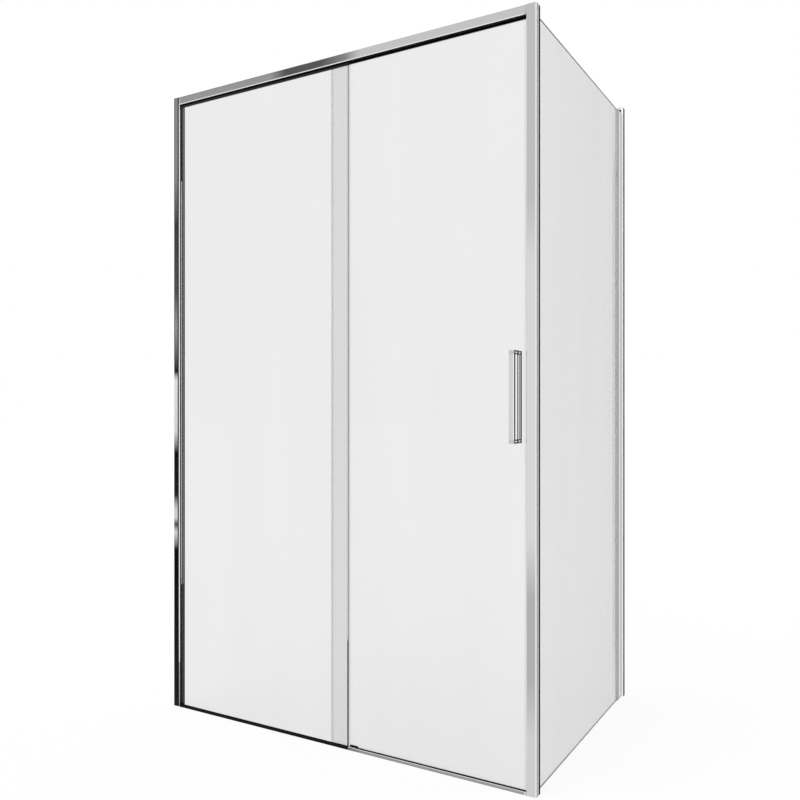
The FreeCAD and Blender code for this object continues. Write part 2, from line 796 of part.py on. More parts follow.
side_jamb_outer = side_slot_x[1] + thin_gauge
side_channel_inner = corner_face - post_width
side_jamb_inner = side_channel_inner + gauge + slip
side_jamb_profile = [
    (side_jamb_inner, side_jamb_front, corner_round / 2),
    (side_slot_x[0], side_jamb_front),
    (side_slot_x[0], side_slot_end),
    (side_slot_x[1], side_slot_end),
    (side_slot_x[1], side_jamb_front),
    (side_jamb_outer, side_jamb_front),
    (side_jamb_outer, side_jamb_end),
    (side_jamb_inner, side_jamb_end),
]
side_hollow_x = (side_jamb_inner + thin_gauge, side_jamb_outer - thin_gauge)
side_jamb_hollow = rectangle(side_hollow_x, (side_slot_end + thin_gauge, side_jamb_end - thin_gauge))
side_jamb_blank = extrude(
    "side_jamb_profile", "XY_Plane", [side_jamb_profile, side_jamb_hollow], as_size(0), side_top
)
side_channel_front = wall_back - side_channel_depth
lip_edge = side_jamb_outer + slip
side_channel_profile = [
    (side_channel_inner, wall_back),
    (side_channel_inner, side_channel_front),
    (side_channel_inner + gauge, side_channel_front),
    (side_channel_inner + gauge, wall_back - gauge),
    (corner_face - gauge, wall_back - gauge),
    (corner_face - gauge, side_channel_front + gauge),
    (lip_edge, side_channel_front + gauge),
    (lip_edge, side_channel_front),
    (corner_face, side_channel_front, corner_round),
    (corner_face, wall_back),
]
side_blank = extrude("side_channel_profile", "XY_Plane", [side_channel_profile], as_size(0), profile_top)
side_wall_x = (side_channel_inner + corner_face) / 2
side_fixing_y = side_channel_front + side_channel_depth / 2
side_fixing_heights = [fixing_foot, side_top / 2, side_top - fixing_foot]
side_channel_holes = []
side_jamb_holes = []
side_screws = []
side_covers = []
for i, height in enumerate(wall_hole_heights):
    web = (wall_back - gauge, wall_back)
    side_channel_holes.append(rod(f"side_wall_hole_{i}", "y", wall_hole_radius, side_wall_x, web, height))
for i, height in enumerate(side_fixing_heights):
    leg = (side_channel_inner, side_channel_inner + gauge)
    skin = (side_jamb_inner, side_jamb_inner + thin_gauge)
    side_channel_holes.append(rod(f"side_fixing_hole_{i}", "x", screw_hole, leg, side_fixing_y, height))
    side_jamb_holes.append(rod(f"side_jamb_hole_{i}", "x", screw_hole, skin, side_fixing_y, height))
    head = (side_channel_inner - screw_head_height, side_channel_inner)
    shank = (side_channel_inner, side_jamb_inner + thin_gauge * 2)
    side_screws.append(
        screw(
            f"side_screw_{i}", "x", head, shank, screw_radius, screw_head_radius, y=side_fixing_y, z=height
        )
    )
    cover_x = (side_channel_inner - cover_height, side_channel_inner)
    shell = rod(f"side_cover_shell_{i}", "x", cover_radius, cover_x, side_fixing_y, height)
    pocket_x = (head[0] - slip, side_channel_inner)
    pocket = rod(
        f"side_cover_pocket_{i}", "x", screw_head_radius + slip, pocket_x, side_fixing_y, height
    )
    side_covers.append(drilled(f"side_cover_{i}", shell, [pocket]))
keep(drilled("side_jamb", side_jamb_blank, side_jamb_holes))
keep(drilled("side_wall_channel", side_blank, side_channel_holes))
keep(group("side_jamb_screws", side_screws))
keep(group("side_screw_covers", side_covers))
side_cap_plate = block(
    "side_cap_plate",
    (side_channel_inner, corner_face),
    (side_channel_front, wall_back),
    (profile_top, frame_height),
)
side_cap_spigot = block(
    "side_cap_spigot",
    (side_channel_inner + gauge + slip, corner_face - gauge - slip),
    (side_channel_front + gauge + slip, wall_back - gauge - slip),
    (profile_top - cap_spigot, profile_top),
)
keep(joined("side_cap", [side_cap_plate, side_cap_spigot]))

# Door pane, drilled for the handle, with its head profile and edge seals
handle_x = (post_face - handle_inset - handle_width, post_face - handle_inset)
handle_centre_x = (handle_x[0] + handle_x[1]) / 2
handle_z = (handle_middle - handle_length / 2, handle_middle + handle_length / 2)
handle_screw_z = [handle_z[0] + handle_screw_inset, handle_z[1] - handle_screw_inset]
door_holes = []
for i, height in enumerate(handle_screw_z):
    through = (door_front, door_back)
    door_holes.append(rod(f"door_hole_{i}", "y", glass_hole_radius, handle_centre_x, through, height))
door_blank = sheet_of_glass(
    "door_glass", (door_tail, door_lead), (door_front, door_back), (door_clearance, door_top)
)
keep(drilled("door_pane", door_blank, door_holes))
head_y = (door_front - head_wall, door_back + head_wall)
head_top = door_top + gauge
head_profile = [
    (head_y[0], door_top - head_grip),
    (door_front, door_top - head_grip),
    (door_front, door_top),
    (door_back, door_top),
    (door_back, door_top - head_grip),
    (head_y[1], door_top - head_grip),
    (head_y[1], head_top),
    (head_y[0], head_top),
]
magnet_seal = [
    (door_lead - seal_grip, door_seal_y[0]),
    (magnet_tip, door_seal_y[0]),
    (magnet_tip, door_seal_y[1]),
    (door_lead - seal_grip, door_seal_y[1]),
    (door_lead - seal_grip, door_back + seal_fit),
    (door_lead + seal_fit, door_back + seal_fit),
    (door_lead + seal_fit, door_front - seal_fit),
    (door_lead - seal_grip, door_front - seal_fit),
]
pocket_x = (magnet_tip - seal_wall - magnet_thickness, magnet_tip - seal_wall)
pocket_y = (door_front, door_back)
magnet_pocket = rectangle(pocket_x, pocket_y)
keep(extrude("door_magnet_seal", "XY_Plane", [magnet_seal, magnet_pocket], seal_foot, seal_head))
magnet_y = (pocket_y[0] + slip, pocket_y[1] - slip)
keep(block("door_magnet", (pocket_x[0] + slip, pocket_x[1]), magnet_y, (seal_foot, seal_head)))
tail_lip_x = (door_tail, door_tail + seal_web)
overlap_seal = [
    (door_tail + seal_grip, door_seal_y[0]),
    (door_tail + seal_grip, door_front - seal_fit),
    (door_tail - seal_fit, door_front - seal_fit),
    (door_tail - seal_fit, door_back + seal_fit),
    (door_tail + seal_grip, door_back + seal_fit),
    (door_tail + seal_grip, door_seal_y[1]),
    (door_tail - seal_web, door_seal_y[1]),
    (door_tail - seal_web, door_seal_y[0]),
    (tail_lip_x[0], door_seal_y[0]),
    (tail_lip_x[0], fixed_back + seal_lip_room),
    (tail_lip_x[1], fixed_back + seal_lip_room),
    (tail_lip_x[1], door_seal_y[0]),
]
keep(extrude("door_overlap_seal", "XY_Plane", [overlap_seal], seal_foot, seal_head))
wiper = [
    (door_seal_y[0], wiper_foot),
    (door_seal_y[1], wiper_foot),
    (door_seal_y[1], door_clearance + wiper_grip),
    (door_back + seal_fit, door_clearance + wiper_grip),
    (door_back + seal_fit, door_clearance - seal_fit),
    (door_front - seal_fit, door_clearance - seal_fit),
    (door_front - seal_fit, door_clearance + wiper_grip),
    (door_seal_y[0], door_clearance + wiper_grip),
]
keep(extrude("door_wiper", "YZ_Plane", [wiper], door_tail, door_lead))

# Carriages on the head profile: each carries two wheels behind it on plain axles
axle_z = bead_top + run_gap + run_radius
axle_hole = axle_radius + axle_fit
wheel_y = (bead_middle - wheel_width / 2, bead_middle + wheel_width / 2)
carriage_x = [door_tail + carriage_inset, door_lead - carriage_inset]
carriage_z = (head_top, rail_ceiling - lift_gap)
carriage_middle_y = (head_y[0] + head_y[1]) / 2
carriage_seat = carriage_z[1] - small_head_height * 2
wheel_x = []
axles = []
carriage_screws = []
head_holes = []
for name, middle in zip(("left", "right"), carriage_x):
    span = (middle - carriage_length / 2, middle + carriage_length / 2)
    bores = []
    for side, sign in (("a", -1), ("b", 1)):
        x = middle + wheel_spacing * (sign / 2)
        wheel_x.append(x)
        bore_y = (head_y[1] - axle_bite, head_y[1])
        bores.append(rod(f"axle_bore_{name}_{side}", "y", axle_hole, x, bore_y, axle_z))
        collar = (head_y[1], head_y[1] + axle_collar)
        tip = (wheel_y[1] + wheel_end_gap, wheel_y[1] + wheel_end_gap + axle_head)
        pin = (head_y[1] - axle_bite, tip[1])
        axles.append(
            joined(
                f"axle_{name}_{side}",
                [
                    rod(f"axle_pin_{name}_{side}", "y", axle_radius, x, pin, axle_z),
                    rod(f"axle_collar_{name}_{side}", "y", axle_radius + head_wall, x, collar, axle_z),
                    rod(f"axle_tip_{name}_{side}", "y", axle_radius + head_wall, x, tip, axle_z),
                ],
            )
        )
        bolt_x = middle + carriage_length * (sign * 0.42)
        bores.append(rod(f"bolt_bore_{name}_{side}", "z", small_hole, bolt_x, carriage_middle_y, carriage_z))
        sink = (carriage_seat, carriage_z[1])
        bores.append(
            rod(f"bolt_sink_{name}_{side}", "z", small_head_radius + slip, bolt_x, carriage_middle_y, sink)
        )
        web = (door_top, head_top)
        head_holes.append(rod(f"head_hole_{name}_{side}", "z", small_hole, bolt_x, carriage_middle_y, web))
        carriage_screws.append(
            screw(
                f"carriage_screw_{name}_{side}",
                "z",
                (carriage_seat, carriage_seat + small_head_height),
                (door_top + slip, carriage_seat),
                small_screw_radius,
                small_head_radius,
                x=bolt_x,
                y=carriage_middle_y,
            )
        )
    carriage_blank = block(f"carriage_blank_{name}", span, head_y, carriage_z)
    keep(drilled(f"carriage_{name}", carriage_blank, bores))
head_blank = extrude("head_channel", "YZ_Plane", [head_profile], door_tail, door_lead)
keep(drilled("door_head_profile", head_blank, head_holes))
keep(group("carriage_screws", carriage_screws))
keep(group("wheel_axles", axles))

# Wheels: a grooved tyre on a bearing, turning on its axle above the rail's bead
half_width = wheel_width / 2
groove = bead_width / 2 + run_gap
tyre_loop = [
    (-half_width, bearing_radius),
    (half_width, bearing_radius),
    (half_width, run_radius + wheel_flange),
    (groove, run_radius + wheel_flange),
    (groove, run_radius),
    (-groove, run_radius),
    (-groove, run_radius + wheel_flange),
    (-half_width, run_radius + wheel_flange),
]
bearing_loop = rectangle((-half_width, half_width), (axle_hole, bearing_radius - press_gap))
for i, x in enumerate(wheel_x):
    keep(turned(f"wheel_tyre_{i + 1}", tyre_loop, x, bead_middle, axle_z))
    keep(turned(f"wheel_bearing_{i + 1}", bearing_loop, x, bead_middle, axle_z))

# Track stops: rubber blocks in the rail that the end wheels meet with the door open and shut
wheel_rim = run_radius + wheel_flange + run_gap
stop_notch = groove + slip
stop_profile = [
    (ledge_front, ledge_top),
    (bead_middle - stop_notch, ledge_top),
    (bead_middle - stop_notch, bead_top + slip),
    (bead_middle + stop_notch, bead_top + slip),
    (bead_middle + stop_notch, ledge_top),
    (back - gauge, ledge_top),
    (back - gauge, rail_ceiling),
    (ledge_front, rail_ceiling),
]
open_stop = wheel_x[0] - wheel_rim - door_travel
shut_stop = wheel_x[-1] + wheel_rim
keep(extrude("track_stop_open", "YZ_Plane", [stop_profile], open_stop - stop_length, open_stop))
keep(extrude("track_stop_shut", "YZ_Plane", [stop_profile], shut_stop, shut_stop + stop_length))

# Handle: a hollow blade with a black inlay and two grooves on each side, black end caps with bright
# trims, and a rubber pad, held by two screws through the glass
handle_front = door_front - handle_reach
pad_front = door_front - handle_pad
inlay_y = (handle_front + inlay_setback, handle_front + inlay_setback + inlay_width)
side_cuts = [(inlay_y, inlay_depth)]
for i in range(2):
    groove_front = handle_front + groove_setback + groove_spacing * i
    side_cuts.append(((groove_front, groove_front + groove_width), groove_depth))
left_side = []
right_side = []
for (low, high), depth in side_cuts:
    for x, step, side in ((handle_x[0], depth, left_side), (handle_x[1], -depth, right_side)):
        side.extend([(x, low), (x + step, low), (x + step, high), (x, high)])
handle_nose = [(handle_x[0], handle_front, handle_round), (handle_x[1], handle_front, handle_round)]
handle_heel = [(handle_x[1], pad_front), (handle_x[0], pad_front)]
blade_profile = [*handle_nose, *right_side, *handle_heel, *reversed(left_side)]
hollow_x = (handle_x[0] + handle_wall, handle_x[1] - handle_wall)
hollow_y = (handle_front + handle_wall, pad_front - handle_base)
blade_z = (handle_z[0] + handle_cap_height, handle_z[1] - handle_cap_height)
blade_blank = extrude("blade_profile", "XY_Plane", [blade_profile, rectangle(hollow_x, hollow_y)], *blade_z)
inlays = []
for side, x in (("left", handle_x[0]), ("right", handle_x[1] - inlay_depth)):
    inlays.append(block(f"handle_inlay_{side}", (x, x + inlay_depth), inlay_y, blade_z))
keep(group("handle_inlays", inlays))
caps = []
trims = []
spigot_x = (hollow_x[0] + slip, hollow_x[1] - slip)
spigot_y = (hollow_y[0] + slip, hollow_y[1] - slip)
cap_spans = {
    "low": ((handle_z[0], blade_z[0]), (blade_z[0], blade_z[0] + handle_cap_spigot)),
    "high": ((blade_z[1], handle_z[1]), (blade_z[1] - handle_cap_spigot, blade_z[1])),
}
for end, (cap_z, spigot_z) in cap_spans.items():
    cap_plate = extrude(f"handle_cap_plate_{end}", "XY_Plane", [[*handle_nose, *handle_heel]], *cap_z)
    cap_blank = joined(
        f"handle_cap_blank_{end}", [cap_plate, block(f"handle_spigot_{end}", spigot_x, spigot_y, spigot_z)]
    )
    cap_middle = (cap_z[0] + cap_z[1]) / 2
    cap_trims = []
    for side, x in (("left", handle_x[0]), ("right", handle_x[1] - trim_depth)):
        for spot, setback, height in (
            ("front", front_trim_setback, front_trim_height),
            ("rear", rear_trim_setback, rear_trim_height),
        ):
            cap_trims.append(
                block(
                    f"cap_trim_{end}_{side}_{spot}",
                    (x, x + trim_depth),
                    (handle_front + setback, handle_front + setback + trim_length),
                    (cap_middle - height / 2, cap_middle + height / 2),
                )
            )
    caps.append(drilled(f"handle_cap_{end}", cap_blank, cap_trims))
    trims.extend(cap_trims)
keep(group("handle_caps", caps))
keep(group("handle_cap_trims", trims))
pad_blank = block("handle_pad_blank", handle_x, (pad_front, door_front), handle_z)
washer_y = (door_back, door_back + washer_thickness)
head_seat = washer_y[1]
blade_holes = []
pad_holes = []
sleeves = []
washers = []
handle_screws = []
for i, height in enumerate(handle_screw_z):
    bite = (pad_front - handle_screw_bite, pad_front)
    blade_holes.append(rod(f"blade_hole_{i}", "y", screw_hole, handle_centre_x, bite, height))
    pad_span = (pad_front, door_front)
    pad_holes.append(rod(f"pad_hole_{i}", "y", screw_hole, handle_centre_x, pad_span, height))
    sleeve_y = (door_front, door_back)
    sleeve = rod(
        f"sleeve_tube_{i}", "y", glass_hole_radius - axle_fit, handle_centre_x, sleeve_y, height
    )
    sleeve_bore = rod(f"sleeve_bore_{i}", "y", screw_hole, handle_centre_x, sleeve_y, height)
    sleeves.append(drilled(f"handle_sleeve_{i}", sleeve, [sleeve_bore]))
    washer = rod(f"washer_disc_{i}", "y", cover_radius, handle_centre_x, washer_y, height)
    washer_bore = rod(f"washer_bore_{i}", "y", screw_hole, handle_centre_x, washer_y, height)
    washers.append(drilled(f"handle_washer_{i}", washer, [washer_bore]))
    handle_screws.append(
        screw(
            f"handle_screw_{i}",
            "y",
            (head_seat, head_seat + screw_head_height),
            (bite[0], head_seat),
            screw_radius,
            screw_head_radius,
            x=handle_centre_x,
            z=height,
        )
    )
keep(drilled("handle_blade", blade_blank, blade_holes))
keep(drilled("handle_gasket", pad_blank, pad_holes))
keep(group("handle_sleeves", sleeves))
keep(group("handle_washers", washers))
keep(group("handle_screws", handle_screws))

doc.recompute()
for feature in doc.Objects:
    if "Invalid" in feature.State or "Error" in feature.State:
        raise RuntimeError(f"{feature.Label} failed: {feature.State}")
for piece in pieces:
    if piece.Shape.isNull() or not piece.Shape.isValid() or not piece.Shape.Solids:
        raise RuntimeError(f"{piece.Label} has no valid solid")
os.makedirs("parts", exist_ok=True)
for piece in pieces:
    piece.Shape.exportStep(f"parts/{piece.Label}.step")
print(f"{len(pieces)} pieces, {sum(len(piece.Shape.Solids) for piece in pieces)} solids")
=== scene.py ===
import math

import bmesh
import bpy
from mathutils import Matrix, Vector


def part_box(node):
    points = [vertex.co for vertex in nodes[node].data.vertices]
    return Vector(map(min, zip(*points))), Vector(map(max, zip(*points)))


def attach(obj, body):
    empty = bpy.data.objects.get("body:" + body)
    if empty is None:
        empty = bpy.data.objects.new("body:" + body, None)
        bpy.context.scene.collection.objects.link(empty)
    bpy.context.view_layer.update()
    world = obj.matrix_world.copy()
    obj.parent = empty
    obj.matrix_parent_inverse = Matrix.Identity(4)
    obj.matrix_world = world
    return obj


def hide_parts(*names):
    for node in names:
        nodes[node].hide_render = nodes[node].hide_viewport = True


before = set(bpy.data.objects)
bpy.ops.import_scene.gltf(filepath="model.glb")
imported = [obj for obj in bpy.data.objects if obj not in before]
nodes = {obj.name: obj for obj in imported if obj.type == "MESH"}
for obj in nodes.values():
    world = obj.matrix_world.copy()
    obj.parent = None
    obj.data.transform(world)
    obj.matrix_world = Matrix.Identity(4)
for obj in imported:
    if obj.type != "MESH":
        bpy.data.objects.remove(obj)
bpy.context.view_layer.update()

# Studio: a level camera in front of the glass corner, an even white surround, a broad soft lamp overhead
# and a white floor that keeps a soft shadow. Mirrored rays pass the floor and see the surround.
scene = bpy.context.scene
scene.view_settings.view_transform = "Standard"
camera = bpy.data.objects.new("camera", bpy.data.cameras.new("camera"))
scene.collection.objects.link(camera)
camera.location = (1.2828, -2.2034, 0.9295)
camera.rotation_euler = (math.radians(90), 0, math.radians(30.244))
camera.data.sensor_width = 36
camera.data.lens = 36.214
camera.data.shift_y = 0.01057
scene.camera = camera


def link(tree, *path):
    """Join node sockets one after another: each entry is an output and the input that takes it."""
    for output, target in path:
        tree.links.new(output, target)


def seen_directly(tree):
    """A mask of the rays that show the surround: straight from the camera, mirrored or through glass."""
    rays = tree.nodes.new("ShaderNodeLightPath")
    mirrored = tree.nodes.new("ShaderNodeMath")
    mirrored.operation = "MAXIMUM"
    through = tree.nodes.new("ShaderNodeMath")
    through.operation = "MAXIMUM"
    link(
        tree,
        (rays.outputs["Is Camera Ray"], mirrored.inputs[0]),
        (rays.outputs["Is Glossy Ray"], mirrored.inputs[1]),
        (mirrored.outputs[0], through.inputs[0]),
        (rays.outputs["Is Transmission Ray"], through.inputs[1]),
    )
    return through.outputs[0]


surround = bpy.data.worlds.new("white surround")
scene.world = surround
surround.use_nodes = True
tree = surround.node_tree
tree.nodes.clear()
shown = tree.nodes.new("ShaderNodeBackground")
shown.inputs["Color"].default_value = (1, 1, 1, 1)
shown.inputs["Strength"].default_value = 1.0
lighting = tree.nodes.new("ShaderNodeBackground")
lighting.inputs["Color"].default_value = (1, 1, 1, 1)
lighting.inputs["Strength"].default_value = 0.8
choice = tree.nodes.new("ShaderNodeMixShader")
output = tree.nodes.new("ShaderNodeOutputWorld")
link(
    tree,
    (seen_directly(tree), choice.inputs["Fac"]),
    (lighting.outputs[0], choice.inputs[1]),
    (shown.outputs[0], choice.inputs[2]),
    (choice.outputs[0], output.inputs["Surface"]),
)


def stage_sheet(name, normal, at, first, second):
    """A flat studio sheet square to one axis, between two ends on each of the other two axes."""
    corners = [[first[0], second[0]], [first[1], second[0]], [first[1], second[1]], [first[0], second[1]]]
    for corner in corners:
        corner.insert("XYZ".index(normal), at)
    mesh = bpy.data.meshes.new(name)
    mesh.from_pydata(corners, [], [(0, 1, 2, 3)])
    sheet = bpy.data.objects.new(name, mesh)
    scene.collection.objects.link(sheet)
    return sheet


floor_height = -0.0004
floor_ends = (-40, 40)
floor = stage_sheet("floor", "Z", floor_height, floor_ends, floor_ends)
floor.visible_glossy = False
floor_white = bpy.data.materials.new("floor white")
floor_white.use_nodes = True
tree = floor_white.node_tree
tree.nodes.clear()
paint = tree.nodes.new("ShaderNodeBsdfDiffuse")
paint.inputs["Color"].default_value = (0.8, 0.8, 0.8, 1)
shadow_paint = tree.nodes.new("ShaderNodeBsdfDiffuse")
shadow_paint.inputs["Color"].default_value = (0.1, 0.1, 0.1, 1)
glow = tree.nodes.new("ShaderNodeEmission")
glow.inputs["Strength"].default_value = 0.893
shown = tree.nodes.new("ShaderNodeAddShader")
choice = tree.nodes.new("ShaderNodeMixShader")
output = tree.nodes.new("ShaderNodeOutputMaterial")
link(
    tree,
    (shadow_paint.outputs[0], shown.inputs[0]),
    (glow.outputs[0], shown.inputs[1]),
    (seen_directly(tree), choice.inputs["Fac"]),
    (paint.outputs[0], choice.inputs[1]),
    (shown.outputs[0], choice.inputs[2]),
    (choice.outputs[0], output.inputs["Surface"]),
)
floor.data.materials.append(floor_white)

lamp = bpy.data.objects.new("soft lamp", bpy.data.lights.new("soft lamp", "SUN"))
lamp.data.energy = 1.2
lamp.data.angle = math.radians(60)
lamp.rotation_euler = (math.radians(32), math.radians(-14), 0)
lamp.visible_glossy = False
lamp.visible_transmission = False
scene.collection.objects.link(lamp)


# Reflection cards: grey boards close to the frame and large banded ones further off, which only bright
# metal and glass see. Each fades along one axis between a few tones, as flags with gaps do.
def grey(level):
    """A grey as red, green and blue."""
    return (level, level, level)


def card(name, normal, at, axis, across, stops):
    """A board that only mirrored rays see, square to the normal.

    Its stops are places along one axis, from end to end of the board, each with a grey level. On the third
    axis it lies between the two ends that across gives."""
    ends = (stops[0][0], stops[-1][0])
    sides = (across, ends) if axis == "Z" else (ends, across)
    board = stage_sheet(name, normal, at, *sides)
    board.visible_camera = False
    board.visible_diffuse = False
    board.visible_transmission = False
    board.visible_shadow = False
    tone = bpy.data.materials.new(name)
    tone.use_nodes = True
    tree = tone.node_tree
    tree.nodes.clear()
    place = tree.nodes.new("ShaderNodeTexCoord")
    split = tree.nodes.new("ShaderNodeSeparateXYZ")
    share = tree.nodes.new("ShaderNodeMapRange")
    share.inputs["From Min"].default_value = ends[0]
    share.inputs["From Max"].default_value = ends[1]
    ramp = tree.nodes.new("ShaderNodeValToRGB")
    while len(ramp.color_ramp.elements) < len(stops):
        ramp.color_ramp.elements.new(0.5)
    for element, (stop, level) in zip(ramp.color_ramp.elements, stops):
        element.position = (stop - ends[0]) / (ends[1] - ends[0])
        element.color = (*grey(level), 1)
    glow = tree.nodes.new("ShaderNodeEmission")
    output = tree.nodes.new("ShaderNodeOutputMaterial")
    link(
        tree,
        (place.outputs["Object"], split.inputs[0]),
        (split.outputs[axis], share.inputs["Value"]),
        (share.outputs[0], ramp.inputs[0]),
        (ramp.outputs["Color"], glow.inputs["Color"]),
        (glow.outputs[0], output.inputs["Surface"]),
    )
    board.data.materials.append(tone)


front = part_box("corner_post")[0].y
post_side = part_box("corner_post")[1].x
jamb_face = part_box("left_jamb")[1].x
glass_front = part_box("door_pane")[0].y
before_front = front - 0.25
beside_post = post_side + 0.3
inside_jamb = jamb_face + 0.3
beside_handle = glass_front - 0.00085
card_foot = -0.14
card_head = 2.04
channel_card_end = -0.8368
post_card_start = 0.467
card(
    "card for the left channel", "Y", before_front, axis="Z", across=(-0.862, channel_card_end),
    stops=[
        (card_foot, 0.02), (0.43, 0.006), (0.49, 0.78), (0.519, 0.01), (0.54, 0.76), (0.57, 0.76),
        (0.62, 0.02), (0.775, 0.006), (0.85, 0.8), (1.03, 0.9), (1.06, 0.016), (1.22, 0.36),
        (1.34, 0.1), (1.58, 0.06), (1.75, 0.3), (card_head, 0.3),
    ],
)
card(
    "card for the jamb's foot", "Y", before_front, axis="Z", across=(-0.8366, -0.826),
    stops=[(card_foot, 0.15), (-0.05, 0.24), (0.064, 0.57), (0.18, 0.95)],
)
card(
    "card for the rail", "Y", before_front, axis="X", across=(2.0092, 2.036),
    stops=[
        (channel_card_end, 0.38), (-0.42, 0.38), (-0.358, 0.115), (-0.218, 0.115), (-0.123, 0.28),
        (-0.067, 0.68), (post_card_start, 0.68),
    ],
)
card(
    "card for the sill", "Y", before_front, axis="X", across=(card_foot, -0.1182),
    stops=[(-0.12, 0.15), (-0.06, 0.36), (post_card_start, 0.419)],
)
card(
    "card for the post", "Y", before_front, axis="Z", across=(post_card_start, 0.5),
    stops=[
        (card_foot, 0.76), (0.03, 0.76), (0.19, 0.54), (0.41, 0.54), (0.57, 0.84), (1.33, 0.84), (1.5, 0.64),
        (card_head, 0.64),
    ],
)
card(
    "card beside the corner", "X", beside_post, axis="Y", across=(-0.42, 2.34),
    stops=[
        (0.4195, 0.05), (0.4265, 0.06), (0.428, 0.9), (0.4345, 0.9), (0.436, 0.004), (0.463, 0.004),
        (0.468, 0.76), (1.481, 0.58), (1.4825, 0.34), (1.4995, 0.36), (1.501, 0.56), (1.533, 0.56),
        (1.5355, 1.0), (1.5395, 1.0), (1.5415, 0.004), (1.567, 0.004),
    ],
)
card(
    "card beside the handle", "Y", beside_handle, axis="X", across=(0.83, 1.085),
    stops=[(0.5552, 0.62), (0.5645, 0.62), (0.5665, 1.05), (0.5735, 1.05)],
)
card(
    "card inside the jamb", "X", inside_jamb, axis="Y", across=(-0.16, 2.07),
    stops=[(-0.071, 0.2), (-0.058, 0.16)],
)
board_foot = -4
board_head = 3.2
behind = 2.6
pale_start = 1.6
bands = [
    (board_foot, 0.9), (-1.2, 0.6), (0.2, 0.3), (0.75, 0.1), (0.85, 0.7), (1.3, 0.8), (1.45, 0.16),
    (2.3, 0.32), (board_head, 0.7),
]
pale_bands = [(board_foot, 0.95), (0, 0.8), (0.8, 0.66), (1.1, 0.95), (1.5, 0.78), (board_head, 0.95)]
card("board behind", "Y", behind, axis="Z", across=(-5, pale_start), stops=bands)
card("pale board behind", "Y", behind, axis="Z", across=(pale_start, 6), stops=pale_bands)
card("board at the left", "X", -2.6, axis="Z", across=(-2.2, behind), stops=bands)


# Left wall channel: a U-shaped extrusion of bright anodised aluminium, screwed to the wall through its
# web. Faint die lines run along it, and hands have left soft smears. Its rim by the jamb is painted black
# as shade in the gap, and the front's outer edge, from above its middle, as a dark reflection.
def die_lines():
    """Fine lengthwise lines of an extrusion and soft smears, as tone, gloss and height."""
    group = bpy.data.node_groups.new("die lines", "ShaderNodeTree")
    for name, kind in (
        ("Stretched", "Vector"), ("Plain", "Vector"), ("Bright", "Color"), ("Dull", "Color"),
        ("Gloss low", "Float"), ("Gloss high", "Float"),
    ):
        group.interface.new_socket(name, in_out="INPUT", socket_type=f"NodeSocket{kind}")
    for name, kind in (("Tone", "Color"), ("Roughness", "Float"), ("Height", "Float")):
        group.interface.new_socket(name, in_out="OUTPUT", socket_type=f"NodeSocket{kind}")
    entry = group.nodes.new("NodeGroupInput")
    lines = group.nodes.new("ShaderNodeTexNoise")
    lines.inputs["Scale"].default_value = 1
    lines.inputs["Detail"].default_value = 3
    smears = group.nodes.new("ShaderNodeTexNoise")
    smears.inputs["Scale"].default_value = 9
    smears.inputs["Detail"].default_value = 4
    tone = group.nodes.new("ShaderNodeMix")
    tone.data_type = "RGBA"
    gloss = group.nodes.new("ShaderNodeMapRange")
    gloss.inputs["From Min"].default_value = 0.3
    gloss.inputs["From Max"].default_value = 0.7
    leave = group.nodes.new("NodeGroupOutput")
    link(
        group,
        (entry.outputs["Stretched"], lines.inputs["Vector"]),
        (entry.outputs["Plain"], smears.inputs["Vector"]),
        (lines.outputs["Fac"], tone.inputs["Factor"]),
        (entry.outputs["Bright"], tone.inputs["A"]),
        (entry.outputs["Dull"], tone.inputs["B"]),
        (smears.outputs["Fac"], gloss.inputs["Value"]),
        (entry.outputs["Gloss low"], gloss.inputs["To Min"]),
        (entry.outputs["Gloss high"], gloss.inputs["To Max"]),
        (tone.outputs["Result"], leave.inputs["Tone"]),
        (gloss.outputs["Result"], leave.inputs["Roughness"]),
        (lines.outputs["Fac"], leave.inputs["Height"]),
    )
    return group


def inside_box():
    """A mask of the places inside a box between two corners."""
    group = bpy.data.node_groups.new("inside box", "ShaderNodeTree")
    for name in ("Place", "Low", "High"):
        group.interface.new_socket(name, in_out="INPUT", socket_type="NodeSocketVector")
    group.interface.new_socket("Mask", in_out="OUTPUT", socket_type="NodeSocketFloat")
    entry = group.nodes.new("NodeGroupInput")
    above = group.nodes.new("ShaderNodeVectorMath")
    above.operation = "SUBTRACT"
    below = group.nodes.new("ShaderNodeVectorMath")
    below.operation = "SUBTRACT"
    nearest = group.nodes.new("ShaderNodeVectorMath")
    nearest.operation = "MINIMUM"
    split = group.nodes.new("ShaderNodeSeparateXYZ")
    level = group.nodes.new("ShaderNodeMath")
    level.operation = "MINIMUM"
    depth = group.nodes.new("ShaderNodeMath")
    depth.operation = "MINIMUM"
    within = group.nodes.new("ShaderNodeMath")
    within.operation = "GREATER_THAN"
    within.inputs[1].default_value = 0
    leave = group.nodes.new("NodeGroupOutput")
    link(
        group,
        (entry.outputs["Place"], above.inputs[0]),
        (entry.outputs["Low"], above.inputs[1]),
        (entry.outputs["High"], below.inputs[0]),
        (entry.outputs["Place"], below.inputs[1]),
        (above.outputs[0], nearest.inputs[0]),
        (below.outputs[0], nearest.inputs[1]),
        (nearest.outputs[0], split.inputs[0]),
        (split.outputs["X"], level.inputs[0]),
        (split.outputs["Y"], level.inputs[1]),
        (level.outputs[0], depth.inputs[0]),
        (split.outputs["Z"], depth.inputs[1]),
        (depth.outputs[0], within.inputs[0]),
        (within.outputs[0], leave.inputs["Mask"]),
    )
    return group


extrusion_lines = die_lines()
box_mask = inside_box()
beyond = 3


def patch(x=(-beyond, beyond), y=(-beyond, beyond), z=(-beyond, beyond)):
    """The two corners of a box that marks a patch of a finish. An axis that isn't given stays open."""
    return tuple(zip(x, y, z))


def near(start, low, high):
    """Two ends given in mm from a place of the frame."""
    return (start + low / 1000, start + high / 1000)


